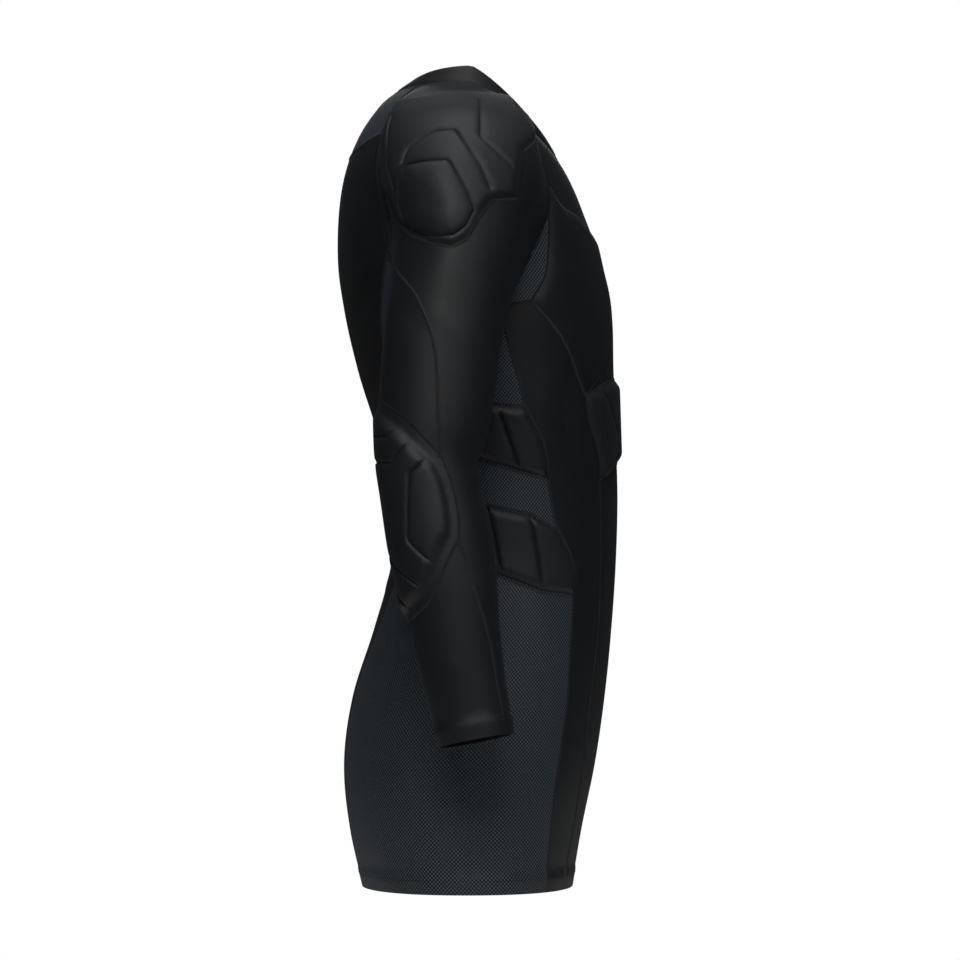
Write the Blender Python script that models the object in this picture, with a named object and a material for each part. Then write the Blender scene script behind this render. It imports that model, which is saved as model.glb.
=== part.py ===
"""Padded long-sleeved compression shirt in its worn, filled-out form.

Metres, +Z up, the front faces -Y and the right sleeve hangs at -X. Height nought is the side of the neck seam.
The surface is two charts that meet at the raglan seams and under the arms: the torso by bearing and height,
the sleeve by bearing and length. Every cut piece is a closed outline of shared seams on one chart, and its wall
is the outline's net on the outside and the same net moved in.
"""
import math

import bpy
import numpy as np
from mathutils import Vector
from mathutils.geometry import delaunay_2d_cdt

OBJECT_NAME = "padded_compression_shirt"
WALL = 0.0012
SEAM_GAP = 0.0003
HEM = -0.710
HEM_FOLD = 0.015
CUFF_FOLD = 0.0155
FOLD_RAISE = 0.0008
NECK_BAND = 0.015
NET_STEP = 0.027
PAD_STEP = 0.016
SEAM_STEP = 0.021
SIDE_MESH_STEP, SLEEVE_BACK_STEP = 0.018, 0.020
# How many steps divide the edges that run at one height, and where the cuff's inner edge is marked
NECK_STEPS = {"front": 7, "side": 6, "back": 5}
UNDERARM_STEPS = {"back": 6, "front": 2}
CUFF_STEPS = {"back": 13, "front": 3}
INNER_SEAM_STEPS = 23
CUFF_MARKS = (-140, 210, 20)
# Shares of a net's step: between its rows, from its outline to the first point, and the least between two points
ROW_SHARE, EDGE_SHARE, POINT_SHARE = 0.88, 0.45, 0.60
MARK_FROM_EDGE, MARK_APART = 0.0012, 0.0030
# The step at the inner edge of a turned-in hem or cuff
FOLD_STEP = 0.0015

# Side drawing of the wearer's right side: one unit is 0.9 mm on the middle plane, seen from 6 m away.
DRAWING_UNIT = 0.0009
DRAWING_ZERO = np.array([478.0, 95.0])
DRAWING_CENTRE = np.array([480.0, 480.0])
EYE_DISTANCE = 6.0

# Bearings run from 0 at the front middle through 90 at the right side to 180 at the back middle.
TORSO_COLUMNS = ("v", "z_front", "z_side", "z_back", "y_front", "y_side", "y_back", "half_width", "squareness")
TORSO_SECTIONS = (
    (0.015, -0.042, 0.022, 0.010, -0.062, 0.006, 0.060, 0.074, 2.0),
    (0.000, -0.056, 0.008, 0.002, -0.070, 0.008, 0.073, 0.082, 2.0),
    (-0.015, -0.065, 0.000, -0.0075, -0.075, 0.009, 0.0855, 0.097, 2.05),
    (-0.030, -0.074, -0.008, -0.022, -0.080, 0.010, 0.097, 0.112, 2.1),
    (-0.060, -0.092, -0.032, -0.048, -0.0885, 0.011, 0.1115, 0.134, 2.2),
    (-0.090, -0.110, -0.063, -0.078, -0.0955, 0.012, 0.121, 0.149, 2.3),
    (-0.120, -0.129, -0.102, -0.112, -0.1030, 0.012, 0.1255, 0.159, 2.3),
    (-0.150, -0.150, -0.150, -0.150, -0.1110, 0.011, 0.126, 0.163, 2.3),
    (-0.190, -0.190, -0.190, -0.190, -0.1195, 0.008, 0.121, 0.163, 2.3),
    (-0.250, -0.250, -0.250, -0.250, -0.1220, 0.001, 0.1075, 0.158, 2.3),
    (-0.310, -0.310, -0.310, -0.310, -0.1240, -0.006, 0.089, 0.149, 2.3),
    (-0.360, -0.360, -0.360, -0.360, -0.1255, -0.011, 0.079, 0.143, 2.25),
    (-0.420, -0.420, -0.420, -0.420, -0.124, -0.011, 0.078, 0.142, 2.25),
    (-0.480, -0.480, -0.480, -0.480, -0.120, -0.004, 0.0935, 0.150, 2.25),
    (-0.540, -0.540, -0.540, -0.540, -0.114, 0.004, 0.1125, 0.162, 2.25),
    (-0.600, -0.600, -0.600, -0.600, -0.1053, 0.009, 0.1205, 0.170, 2.25),
    (-0.660, -0.660, -0.660, -0.660, -0.093, 0.011, 0.115, 0.171, 2.25),
    (-0.710, -0.710, -0.710, -0.710, -0.0845, 0.010, 0.1035, 0.168, 2.25),
)
# How fast a level ring drops from the side towards the front and the back
DROP_FRONT, DROP_BACK = 1.2, 1.8

# The raglan seam by torso height, and the point of the sleeve's outer line at the same step
RAGLAN_COLUMNS = ("v", "front_bearing", "back_bearing", "x", "y", "z")
RAGLAN = (
    (0.000, 63, 128, -0.082, 0.008, 0.008),
    (-0.030, 61, 128, -0.112, 0.012, -0.001),
    (-0.060, 59, 127, -0.150, 0.014, -0.012),
    (-0.090, 58, 125, -0.190, 0.016, -0.030),
    (-0.115, 60, 121, -0.224, 0.018, -0.068),
    (-0.145, 68, 116, -0.242, 0.019, -0.125),
)
UNDERARM_DIP = 0.040
UNDERARM_GAP = 0.0005
INNER_SEAM = 215.0
SEAM_BEARING = 115.0
SHOULDER_CORNER = 0.74
# No pad or seam on the sleeve comes nearer to the raglan seams, in degrees, or to the neckline than this.
SEAM_CLEAR, NECK_CLEAR = 8.0, 0.004

# Sleeve rings below the armpit, from the upper arm to the cuff
ARM_COLUMNS = ("x", "y", "z", "half_depth", "half_width")
ARM_RINGS = (
    (-0.2110, 0.0299, -0.2163, 0.0516, 0.0455),
    (-0.2195, 0.0354, -0.2686, 0.0502, 0.0435),
    (-0.2245, 0.0388, -0.3033, 0.0475, 0.0420),
    (-0.2280, 0.0415, -0.3300, 0.0430, 0.0400),
    (-0.2315, 0.0385, -0.3560, 0.0418, 0.0395),
    (-0.2375, 0.0300, -0.4027, 0.0432, 0.0395),
    (-0.2420, 0.0240, -0.4413, 0.0413, 0.0380),
    (-0.2450, 0.0202, -0.4714, 0.0392, 0.0365),
    (-0.2500, 0.0107, -0.5272, 0.0357, 0.0330),
    (-0.2525, 0.0045, -0.5560, 0.0340, 0.0310),
    (-0.2540, 0.0015, -0.5715, 0.0330, 0.0300),
)

# Heights where the chest panel's top, the underarm gusset and the back yoke reach the raglan seams
CHEST_TOP_V = -0.092
GUSSET_TOP_V = -0.116
YOKE_V = -0.060
YOKE_MIDDLE_V = -0.071

# Seams as they lie on the side drawing, from top to bottom
SEAM_COLUMNS = ("across", "down")
CHEST_TOP = ((563, 208), (574, 215), (584, 224), (589, 231))
CENTRE_EDGE = ((589, 231), (595, 243), (602, 268), (608, 294), (611, 319), (611, 343), (607, 362), (598, 379),
               (585, 395))
CHEST_SEAM = ((585, 395), (578, 377), (570, 353), (552, 324), (531, 300))
GUSSET_FRONT = ((531, 300), (544, 278), (548, 252))
GUSSET_LOWER_FRONT = ((531, 300), (515, 303), (498, 309))
GUSSET_LOWER_BACK = ((498, 309), (465, 324), (430, 318), (405, 298))
MESH_SEAM_TOP = ((498, 309), (504, 324), (512, 356), (521, 386), (525, 408))
UPPER_RIB_FRONT = ((525, 408), (533, 424), (542, 443), (546, 460), (548, 479))
MESH_SEAM_MIDDLE = ((548, 479), (552, 505), (557, 530))
LOWER_RIB_FRONT = ((557, 530), (564, 544), (571, 558), (575, 577), (573, 595))
MESH_SEAM_LOW = ((573, 595), (572, 625), (570, 657), (567, 706), (562, 742), (555, 791), (549, 851), (545, 884))
UPPER_RIB_BACK = ((525, 408), (495, 405), (466, 402), (446, 404), (438, 416), (440, 440), (452, 451), (477, 458),
                  (518, 470), (548, 479))
LOWER_RIB_BACK = ((557, 530), (530, 515), (490, 507), (458, 502), (446, 508), (441, 527), (446, 551), (465, 565),
                  (500, 575), (542, 591), (573, 595))
PAD_SIDE = ((585, 395), (588, 418), (595, 442), (599, 460), (600, 479))
FRONT_SEAM = ((600, 479), (601, 560), (598, 633), (591, 694), (585, 742), (579, 791), (573, 830), (566, 868),
              (563, 884))
BACK_SEAM_COLUMNS = ("bearing", "v")
BACK_SEAM = ((122, -0.20), (127, -0.28), (134, -0.36), (141, -0.42), (148, -0.46), (155, -0.49), (160, -0.53),
             (161, -0.60), (161, -0.66), (161, HEM))
BELLY_TOP = ((585, 395), (598, 387), (608, 382))
BELLY_TOP_MIDDLE_V = -0.2560
BELLY_LOWER = ((600, 479), (607, 475), (614, 467))
BELLY_LOWER_MIDDLE_V = -0.3300
SLEEVE_SEAM_TOP = ((397, 272), (413, 292), (425, 317), (433, 340), (437, 372), (438, 409), (440, 457))
ELBOW_FRONT = ((440, 457), (448, 477), (454, 500), (457, 520), (457, 538))
SLEEVE_SEAM_LOW = ((457, 538), (469, 575), (482, 612), (491, 645), (497, 680), (504, 722), (506, 741))
ELBOW_ABOVE = ((404, 420), (421, 437), (440, 457))
ELBOW_BELOW = ((457, 538), (451, 549), (441, 571), (427, 602), (411, 619))
ELBOW_TOP_LENGTH, ELBOW_END_LENGTH = 0.377, 0.570
SHOULDER_PAD = ((399, 98), (424, 97), (450, 92), (480, 93), (502, 97), (517, 109), (524, 126), (523, 150),
                (519, 175), (517, 197), (492, 199), (478, 217), (466, 238), (452, 246), (432, 242), (411, 234),
                (399, 222), (391, 200), (384, 186), (381, 160), (383, 135), (388, 112))
SHOULDER_DOME = ((408, 166), (428, 162), (448, 161), (457, 176), (467, 193), (474, 210), (466, 226), (454, 235),
                 (438, 237), (422, 235), (406, 226), (400, 203), (400, 182))

# Grooves pressed into the pads, on the same drawing
GROOVES = {
    "shoulder_pad": (
        ((403, 164), (409, 149), (423, 138), (437, 132), (455, 131), (467, 148), (480, 166), (490, 190)),
        ((479, 102), (480, 138), (515, 172)),
        ((393, 118), (389, 144), (388, 162), (396, 190)),
    ),
    "elbow_pad": (
        ((379, 436), (390, 437), (400, 424)),
        ((381, 461), (394, 463), (412, 441)),
        ((426, 460), (411, 474), (410, 541), (432, 562)),
        ((393, 553), (422, 587)),
        ((398, 587), (409, 606)),
    ),
    "rib_pad_upper": (((499, 411), (517, 463)), ((464, 408), (476, 452))),
    "rib_pad_lower": (((530, 520), (541, 584)), ((489, 512), (500, 569))),
    "belly_pad": (((600, 392), (608, 416), (613, 435), (614, 458)),
                  ((592, 402), (598, 425), (603, 446), (605, 466))),
}

# Raised pieces: the flat border, the rise from it, the height inside, and how deep and wide its grooves are
PAD_COLUMNS = ("border", "rise", "height", "groove_depth", "groove_width")
PADS = {
    "shoulder_pad": (0.001, 0.006, 0.0028, 0.0020, 0.0035),
    "shoulder_dome": (0.0005, 0.016, 0.0062, 0.0, 0.004),
    "elbow_pad": (0.008, 0.007, 0.0058, 0.0040, 0.0040),
    "rib_pad_upper": (0.0005, 0.006, 0.0045, 0.0036, 0.0040),
    "rib_pad_lower": (0.0005, 0.006, 0.0045, 0.0036, 0.0040),
    "belly_pad": (0.0005, 0.009, 0.0052, 0.0030, 0.0040),
    "chest_panel": (0.0, 0.010, 0.0022, 0.0, 0.004),
}

MATERIAL_COLUMNS = ("red", "green", "blue", "roughness")
MATERIALS = {
    "lycra": (0.016, 0.016, 0.018, 0.55),
    "mesh": (0.050, 0.055, 0.064, 0.80),
    "pad": (0.021, 0.021, 0.023, 0.62),
}


def through(knots, values, at):
    """Smooth curve through values at rising knots. Values may hold a column of points for every place in at."""
    knots, values, at = (np.asarray(item, float) for item in (knots, values, at))
    slope = np.gradient(values, knots, axis=0)
    at = np.clip(at, knots[0], knots[-1])
    cell = np.clip(np.searchsorted(knots, at) - 1, 0, len(knots) - 2)
    span = knots[cell + 1] - knots[cell]
    part = (at - knots[cell]) / span
    column = np.arange(len(at)) if values.ndim == 3 else slice(None)
    pick = (lambda table, row: table[row, column]) if values.ndim == 3 else (lambda table, row: table[row])
    start, end, leave, arrive = pick(values, cell), pick(values, cell + 1), pick(slope, cell), pick(slope, cell + 1)
    grow = (slice(None),) + (None,) * (start.ndim - 1)
    part, span = part[grow], span[grow]
    return ((1 + 2 * part) * (1 - part) ** 2 * start + part * (1 - part) ** 2 * span * leave
            + part ** 2 * (3 - 2 * part) * end + part ** 2 * (part - 1) * span * arrive)


def torso(bearing, v):
    """Points of the torso's outer surface."""
    bearing, v = np.broadcast_arrays(np.asarray(bearing, float), np.asarray(v, float))
    rows = np.array(TORSO_SECTIONS[::-1])
    z_front, z_side, z_back, y_front, y_side, y_back, half_width, power = through(rows[:, 0], rows[:, 1:], v).T
    turn = np.radians(bearing)
    side, ahead = np.sin(turn), np.cos(turn)
    depth = np.where(ahead > 0, y_side - y_front, y_back - y_side)
    reach = ((np.abs(side) / half_width) ** power + (np.abs(ahead) / depth) ** power) ** (-1 / power)
    drop = np.abs(ahead) ** np.where(ahead > 0, DROP_FRONT, DROP_BACK)
    z_end = np.where(ahead > 0, z_front, z_back)
    return np.stack([-reach * side, y_side - reach * ahead, z_side + (z_end - z_side) * drop], -1)


RAGLAN_ROWS = np.array(RAGLAN)
CAP_ROWS = len(RAGLAN_ROWS)


def raglan_bearings(v):
    """Bearings of the front and back raglan seams at torso heights."""
    return tuple(through(-RAGLAN_ROWS[:, 0], RAGLAN_ROWS[:, column], -np.asarray(v, float)) for column in (1, 2))


def underarm(part):
    """Torso chart points of the underarm seam, from the back raglan seam at 0 to the front one at 1."""
    front, back = RAGLAN_ROWS[-1, 1], RAGLAN_ROWS[-1, 2]
    dip = UNDERARM_DIP * np.sin(np.pi * np.clip(part, 0, 1)) ** 0.8
    return back + (front - back) * part, RAGLAN_ROWS[-1, 0] - dip


def arm_frame():
    """Centres of the arm rings with their outward and backward directions and half sizes."""
    rings = np.array(ARM_RINGS)
    centre = rings[:, :3]
    along = np.gradient(centre, axis=0)
    along /= np.linalg.norm(along, axis=1)[:, None]
    away = np.array([-1.0, 0.0, 0.0])
    out = away - along * (along @ away)[:, None]
    out /= np.linalg.norm(out, axis=1)[:, None]
    back = np.cross(along, out)
    back *= np.sign(back[:, 1])[:, None]
    return centre, out, back, rings[:, 3], rings[:, 4]


CENTRE, OUT, BACK, HALF_DEPTH, HALF_WIDTH = arm_frame()
OUTER_LINE = np.concatenate([RAGLAN_ROWS[:, 3:6], CENTRE + OUT * HALF_WIDTH[:, None]])
LENGTHS = np.concatenate([[0.0], np.cumsum(np.linalg.norm(np.diff(OUTER_LINE, axis=0), axis=1))])
CAP_LENGTH = LENGTHS[CAP_ROWS - 1]
SLEEVE_END = LENGTHS[-1]
FRONT_SEAM_POINTS = torso(RAGLAN_ROWS[:, 1], RAGLAN_ROWS[:, 0])
BACK_SEAM_POINTS = torso(RAGLAN_ROWS[:, 2], RAGLAN_ROWS[:, 0])


def ring_points(turn):
    """Arm ring points at angles round the arm, a row for each ring."""
    return np.array([centre + out * width * np.cos(turn)[:, None] + back * depth * np.sin(turn)[:, None]
                     for centre, out, back, depth, width in zip(CENTRE, OUT, BACK, HALF_DEPTH, HALF_WIDTH)])


def sleeve_rows(bearing):
    """Points of every row of the sleeve at the bearings, from the neckline to the cuff."""
    wrapped = (bearing + 180) % 360 - 180
    on_cap = np.abs(wrapped) <= SEAM_BEARING
    edge = np.clip(wrapped, -SEAM_BEARING, SEAM_BEARING)
    stations = (-SEAM_BEARING, -50.0, 0.0, 50.0, SEAM_BEARING)
    neck_bearing = RAGLAN_ROWS[0, 1] + (RAGLAN_ROWS[0, 2] - RAGLAN_ROWS[0, 1]) * (edge / SEAM_BEARING + 1) / 2
    rows = [torso(neck_bearing, np.zeros_like(edge))]
    for front, back, top in zip(FRONT_SEAM_POINTS[1:], BACK_SEAM_POINTS[1:], OUTER_LINE[1:]):
        corners = [seam + (top - seam) * np.array([SHOULDER_CORNER, 1 - SHOULDER_CORNER, SHOULDER_CORNER])
                   for seam in (front, back)]
        rows.append(through(stations, np.array([front, corners[0], top, corners[1], back]), edge))
    part = np.clip((bearing % 360 - SEAM_BEARING) / (360 - 2 * SEAM_BEARING), 0, 1)
    under = torso(*underarm(part))
    under[:, 0] -= UNDERARM_GAP * np.sin(np.pi * part)
    last = CAP_ROWS - 1
    rise = ((BACK_SEAM_POINTS[last - 1] - BACK_SEAM_POINTS[last]) * (1 - part)[:, None]
            + (FRONT_SEAM_POINTS[last - 1] - FRONT_SEAM_POINTS[last]) * part[:, None])
    rows = [np.where(on_cap[:, None], row, under + (rise if number < last else 0))
            for number, row in enumerate(rows)]
    return np.concatenate([np.array(rows), ring_points(np.radians(wrapped))])


def sleeve(bearing, length):
    """Points of the sleeve's outer surface: bearing 0 is outermost, positive is behind and 180 faces the torso."""
    bearing, length = np.broadcast_arrays(np.asarray(bearing, float), np.asarray(length, float))
    shape = bearing.shape
    bearing, length = bearing.ravel(), length.ravel()
    wrapped = (bearing + 180) % 360 - 180
    on_cap = length < CAP_LENGTH - 1e-9
    bearing = np.where(on_cap, np.clip(wrapped, -SEAM_BEARING, SEAM_BEARING), bearing)
    points = through(LENGTHS, sleeve_rows(bearing), length)
    # The cap's edges follow the raglan seams on the torso exactly.
    cap_length = np.clip(length, 0, CAP_LENGTH)
    v = through(LENGTHS[:CAP_ROWS], RAGLAN_ROWS[:, 0], cap_length)
    wrapped = (bearing + 180) % 360 - 180
    for seam, seam_bearing, side in zip((FRONT_SEAM_POINTS, BACK_SEAM_POINTS), raglan_bearings(v), (-1, 1)):
        ring_edge = ring_points(np.radians([side * SEAM_BEARING]))[:, 0]
        loose = through(LENGTHS, np.concatenate([seam, ring_edge]), cap_length)
        weight = np.clip(1 - np.abs(wrapped - side * SEAM_BEARING) / 65, 0, 1) ** 2 * on_cap
        points = points + (torso(seam_bearing, v) - loose) * weight[:, None]
    return points.reshape(shape + (3,))


# A chart's function, the metres that a degree is worth in its flat net, and its outward turn.
TORSO = (torso, 0.0025, -1)
SLEEVE = (sleeve, 0.00095, 1)


def chart_normals(chart, places):
    """Outward unit normals at chart places."""
    surface, _, facing = chart
    bearing, height = places.T
    turn, step = 0.2, 0.0004
    low = height - step
    if surface is sleeve:
        on_arm = np.abs((bearing + 180) % 360 - 180) > SEAM_BEARING + 1e-6
        low = np.maximum(low, np.where(on_arm, CAP_LENGTH, 0))
    across = surface(bearing + turn, height) - surface(bearing - turn, height)
    along = surface(bearing, height + step) - surface(bearing, low)
    normal = np.cross(across, along) * facing
    return normal / np.linalg.norm(normal, axis=1)[:, None]


def drawn(points):
    """Where points stand on the side drawing."""
    near = EYE_DISTANCE / (EYE_DISTANCE + points[..., :1])
    flat = DRAWING_ZERO - points[..., 1:] / DRAWING_UNIT
    return DRAWING_CENTRE + (flat - DRAWING_CENTRE) * near


def placed(chart, table):
    """Chart places of points read on the side drawing, found by stepping towards each."""
    surface = chart[0]
    table = np.array(table, float)
    if surface is torso:
        bearings, heights = np.linspace(4, 176, 44), np.linspace(0, HEM, 60)
    else:
        bearings, heights = np.linspace(-100, 100, 44), np.linspace(0.002, SLEEVE_END, 60)
    grid = np.array(np.meshgrid(bearings, heights)).reshape(2, -1).T
    seen = drawn(surface(*grid.T))
    unit = np.array([40.0, 0.1])
    places = []
    for target in table:
        place = grid[np.argmin(np.linalg.norm(seen - target, axis=1))].copy()
        for _ in range(25):
            tries = place + np.array([[0, 0], [0.05, 0], [0, 0.0002]])
            at = drawn(surface(*tries.T))
            slope = np.stack([(at[1] - at[0]) / 0.05, (at[2] - at[0]) / 0.0002], 1) * unit
            step = np.linalg.solve(slope.T @ slope + 2.0 * np.eye(2), slope.T @ (target - at[0]))
            place = place + np.clip(step, -0.3, 0.3) * unit
            if surface is sleeve:
                place[0] = np.clip(place[0], SEAM_CLEAR - SEAM_BEARING, SEAM_BEARING - SEAM_CLEAR)
                place[1] = max(place[1], NECK_CLEAR)
        places.append(place)
    return np.array(places)


def spaced(chart, places, step=SEAM_STEP, smooth=True):
    """The line through chart places, divided into even steps of its true length."""
    places = np.asarray(places, float)
    fine = np.linspace(0, len(places) - 1, 24 * (len(places) - 1) + 1)
    if smooth and len(places) > 2:
        scaled = np.linalg.norm(np.diff(chart[0](*places.T), axis=0), axis=1)
        knots = np.concatenate([[0], np.cumsum(scaled)])
        line = through(knots, places, np.interp(fine, np.arange(len(places)), knots))
    else:
        line = np.stack([np.interp(fine, np.arange(len(places)), column) for column in places.T], 1)
    length = np.concatenate([[0], np.cumsum(np.linalg.norm(np.diff(chart[0](*line.T), axis=0), axis=1))])
    count = max(1, round(length[-1] / step))
    at = np.linspace(0, length[-1], count + 1)
    return np.stack([np.interp(at, length, column) for column in line.T], 1)


def join(*seams):
    """One outline from seams that follow each other."""
    line = [seams[0]]
    for seam in seams[1:]:
        line.append(seam[1:])
    line = np.concatenate(line)
    return line[:-1] if np.allclose(line[0], line[-1], atol=1e-6) else line


def level(v, first, last, count):
    """A line of constant torso height or sleeve length."""
    return np.stack([np.linspace(first, last, count + 1), np.full(count + 1, v)], 1)


def raglan_seams():
    """The raglan seams as torso places and sleeve places, split where other seams meet them."""
    dense = np.linspace(0, CAP_LENGTH, 800)
    heights = through(LENGTHS[:CAP_ROWS], RAGLAN_ROWS[:, 0], dense)
    seams = {}
    for side, column, stops in (("front", 0, (0, CHEST_TOP_V, GUSSET_TOP_V, RAGLAN_ROWS[-1, 0])),
                                ("back", 1, (0, YOKE_V, RAGLAN_ROWS[-1, 0]))):
        sign = -1 if side == "front" else 1
        for number, (upper, lower) in enumerate(zip(stops, stops[1:])):
            lengths = np.interp([-upper, -lower], -heights, dense)
            line = torso(raglan_bearings(heights)[column], heights)
            inside = (dense >= lengths[0]) & (dense <= lengths[1])
            run = np.linalg.norm(np.diff(line[inside], axis=0), axis=1).sum()
            at = np.linspace(*lengths, max(1, round(run / SEAM_STEP)) + 1)
            v = through(LENGTHS[:CAP_ROWS], RAGLAN_ROWS[:, 0], at)
            seams[f"{side}_{number}"] = (np.stack([raglan_bearings(v)[column], v], 1),
                                         np.stack([np.full(len(at), sign * SEAM_BEARING), at], 1))
    return seams


def seam_network():
    """Every seam as chart places, shared by the pieces on both sides of it."""
    seams = {}
    for name, (on_torso, on_sleeve) in raglan_seams().items():
        seams["torso_" + name], seams["sleeve_" + name] = on_torso, on_sleeve
    front_end, back_end = seams["torso_front_2"][-1], seams["torso_back_1"][-1]
    chest_corner, gusset_corner = seams["torso_front_0"][-1], seams["torso_front_1"][-1]

    def on_torso(table, first=None, last=None, hem=False, smooth=True):
        places = placed(TORSO, table)
        if hem:
            places[-1, 1] = HEM
        start = [] if first is None else [first]
        finish = [] if last is None else [last]
        return spaced(TORSO, np.array(start + list(places) + finish), smooth=smooth)

    seams["chest_top"] = on_torso(CHEST_TOP, first=chest_corner)
    seams["centre_edge"] = on_torso(CENTRE_EDGE)
    seams["chest_seam"] = on_torso(CHEST_SEAM)
    seams["gusset_front"] = on_torso(GUSSET_FRONT, last=gusset_corner)
    seams["gusset_lower_front"] = on_torso(GUSSET_LOWER_FRONT)
    seams["gusset_lower_back"] = on_torso(GUSSET_LOWER_BACK, last=back_end)
    for name, table in (("mesh_top", MESH_SEAM_TOP), ("upper_rib_front", UPPER_RIB_FRONT),
                        ("mesh_middle", MESH_SEAM_MIDDLE), ("lower_rib_front", LOWER_RIB_FRONT),
                        ("pad_side", PAD_SIDE)):
        seams[name] = on_torso(table)
    seams["mesh_low"] = on_torso(MESH_SEAM_LOW, hem=True)
    seams["upper_rib_back"] = on_torso(UPPER_RIB_BACK, smooth=False)
    seams["lower_rib_back"] = on_torso(LOWER_RIB_BACK, smooth=False)
    seams["front_seam"] = on_torso(FRONT_SEAM, hem=True)
    seams["back_seam"] = spaced(TORSO, np.array([tuple(back_end)] + list(BACK_SEAM)))
    seams["belly_top"] = on_torso(BELLY_TOP, last=np.array([0.0, BELLY_TOP_MIDDLE_V]))
    seams["belly_lower"] = on_torso(BELLY_LOWER, last=np.array([0.0, BELLY_LOWER_MIDDLE_V]))
    yoke_corner = seams["torso_back_0"][-1]
    middle = (yoke_corner + np.array([180.0, YOKE_MIDDLE_V])) / 2 - np.array([0, 0.003])
    seams["yoke_lower"] = spaced(TORSO, np.array([yoke_corner, middle, [180.0, YOKE_MIDDLE_V]]))

    # A seam's first and last places are set to the exact corners that other seams use.
    corners = (("chest_top", -1, "centre_edge", 0), ("chest_seam", 0, "centre_edge", -1),
               ("pad_side", 0, "centre_edge", -1), ("belly_top", 0, "centre_edge", -1),
               ("gusset_front", 0, "chest_seam", -1), ("gusset_lower_front", 0, "chest_seam", -1),
               ("gusset_lower_back", 0, "gusset_lower_front", -1), ("mesh_top", 0, "gusset_lower_front", -1),
               ("upper_rib_front", 0, "mesh_top", -1), ("mesh_middle", 0, "upper_rib_front", -1),
               ("lower_rib_front", 0, "mesh_middle", -1), ("mesh_low", 0, "lower_rib_front", -1),
               ("upper_rib_back", 0, "mesh_top", -1), ("upper_rib_back", -1, "upper_rib_front", -1),
               ("lower_rib_back", 0, "mesh_middle", -1), ("lower_rib_back", -1, "lower_rib_front", -1),
               ("front_seam", 0, "pad_side", -1), ("belly_lower", 0, "pad_side", -1))
    for name, end, other, place in corners:
        seams[name][end] = seams[other][place]

    front, back = RAGLAN_ROWS[0, 1], RAGLAN_ROWS[0, 2]
    seams["neck_front"] = level(0.0, 0, front, NECK_STEPS["front"])
    seams["neck_side"] = level(0.0, front, back, NECK_STEPS["side"])
    seams["neck_back"] = level(0.0, back, 180, NECK_STEPS["back"])
    seams["sleeve_neck"] = level(0.0, -SEAM_BEARING, SEAM_BEARING, NECK_STEPS["side"])
    for name, first, last in (("hem_front", 0, seams["front_seam"][-1, 0]),
                              ("hem_side_front", seams["front_seam"][-1, 0], seams["mesh_low"][-1, 0]),
                              ("hem_mesh", seams["mesh_low"][-1, 0], seams["back_seam"][-1, 0]),
                              ("hem_back", seams["back_seam"][-1, 0], 180)):
        seams[name] = level(HEM, first, last, max(1, round(abs(last - first) * TORSO[1] / SEAM_STEP)))
    for name, first, last, count in (("underarm_back", SEAM_BEARING, INNER_SEAM, UNDERARM_STEPS["back"]),
                                     ("underarm_front", INNER_SEAM, 360 - SEAM_BEARING, UNDERARM_STEPS["front"])):
        bearings = np.linspace(first, last, count + 1)
        part = (bearings - SEAM_BEARING) / (360 - 2 * SEAM_BEARING)
        seams["torso_" + name] = np.stack(underarm(part), 1)
        seams["sleeve_" + name] = np.stack([bearings, np.full(count + 1, CAP_LENGTH)], 1)

    def on_sleeve(table, first=None, last=None):
        start = [] if first is None else [first]
        finish = [] if last is None else [last]
        return spaced(SLEEVE, np.array(start + list(placed(SLEEVE, table)) + finish))

    seam_start = seams["sleeve_back_1"][-1]
    seams["sleeve_seam_top"] = on_sleeve(SLEEVE_SEAM_TOP, first=seam_start)
    seams["elbow_front"] = on_sleeve(ELBOW_FRONT)
    seams["sleeve_seam_low"] = on_sleeve(SLEEVE_SEAM_LOW)
    seams["sleeve_seam_low"][-1, 1] = SLEEVE_END
    seams["elbow_above"] = on_sleeve(ELBOW_ABOVE, first=np.array([90.0, ELBOW_TOP_LENGTH]))
    seams["elbow_below"] = on_sleeve(ELBOW_BELOW, last=np.array([90.0, ELBOW_END_LENGTH]))
    for name, end, other, place in (("elbow_front", 0, "sleeve_seam_top", -1),
                                    ("elbow_above", -1, "sleeve_seam_top", -1),
                                    ("elbow_below", 0, "elbow_front", -1),
                                    ("sleeve_seam_low", 0, "elbow_front", -1)):
        seams[name][end] = seams[other][place]
    round_elbow = join(seams["elbow_above"], seams["elbow_front"], seams["elbow_below"])
    seams["elbow_inner"] = round_elbow * [-1, 1] + [180, 0]
    seam_foot = seams["sleeve_seam_low"][-1, 0]
    seams["cuff_front"] = level(SLEEVE_END, seam_foot, INNER_SEAM - 360, CUFF_STEPS["front"])
    seams["cuff_back"] = level(SLEEVE_END, seam_foot, INNER_SEAM, CUFF_STEPS["back"])
    seams["inner_seam"] = level(0.0, CAP_LENGTH, SLEEVE_END, INNER_SEAM_STEPS)[:, ::-1] + [INNER_SEAM, 0]
    return seams


def inside(points, loop):
    """Which flat points lie inside a closed loop."""
    x, y = points.T
    within = np.zeros(len(points), bool)
    for (ax, ay), (bx, by) in zip(loop, np.roll(loop, -1, axis=0)):
        crosses = (ay > y) != (by > y)
        with np.errstate(divide="ignore", invalid="ignore"):
            within ^= crosses & (x < (bx - ax) * (y - ay) / (by - ay) + ax)
    return within


def distance(points, line):
    """Distance of flat points from an open line."""
    best = np.full(len(points), np.inf)
    for a, b in zip(line, line[1:]):
        run = b - a
        part = np.clip((points - a) @ run / max(run @ run, 1e-18), 0, 1)
        best = np.minimum(best, np.linalg.norm(points - a - part[:, None] * run, axis=1))
    return best


def closed(loop):
    return np.concatenate([loop, loop[:1]])


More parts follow.
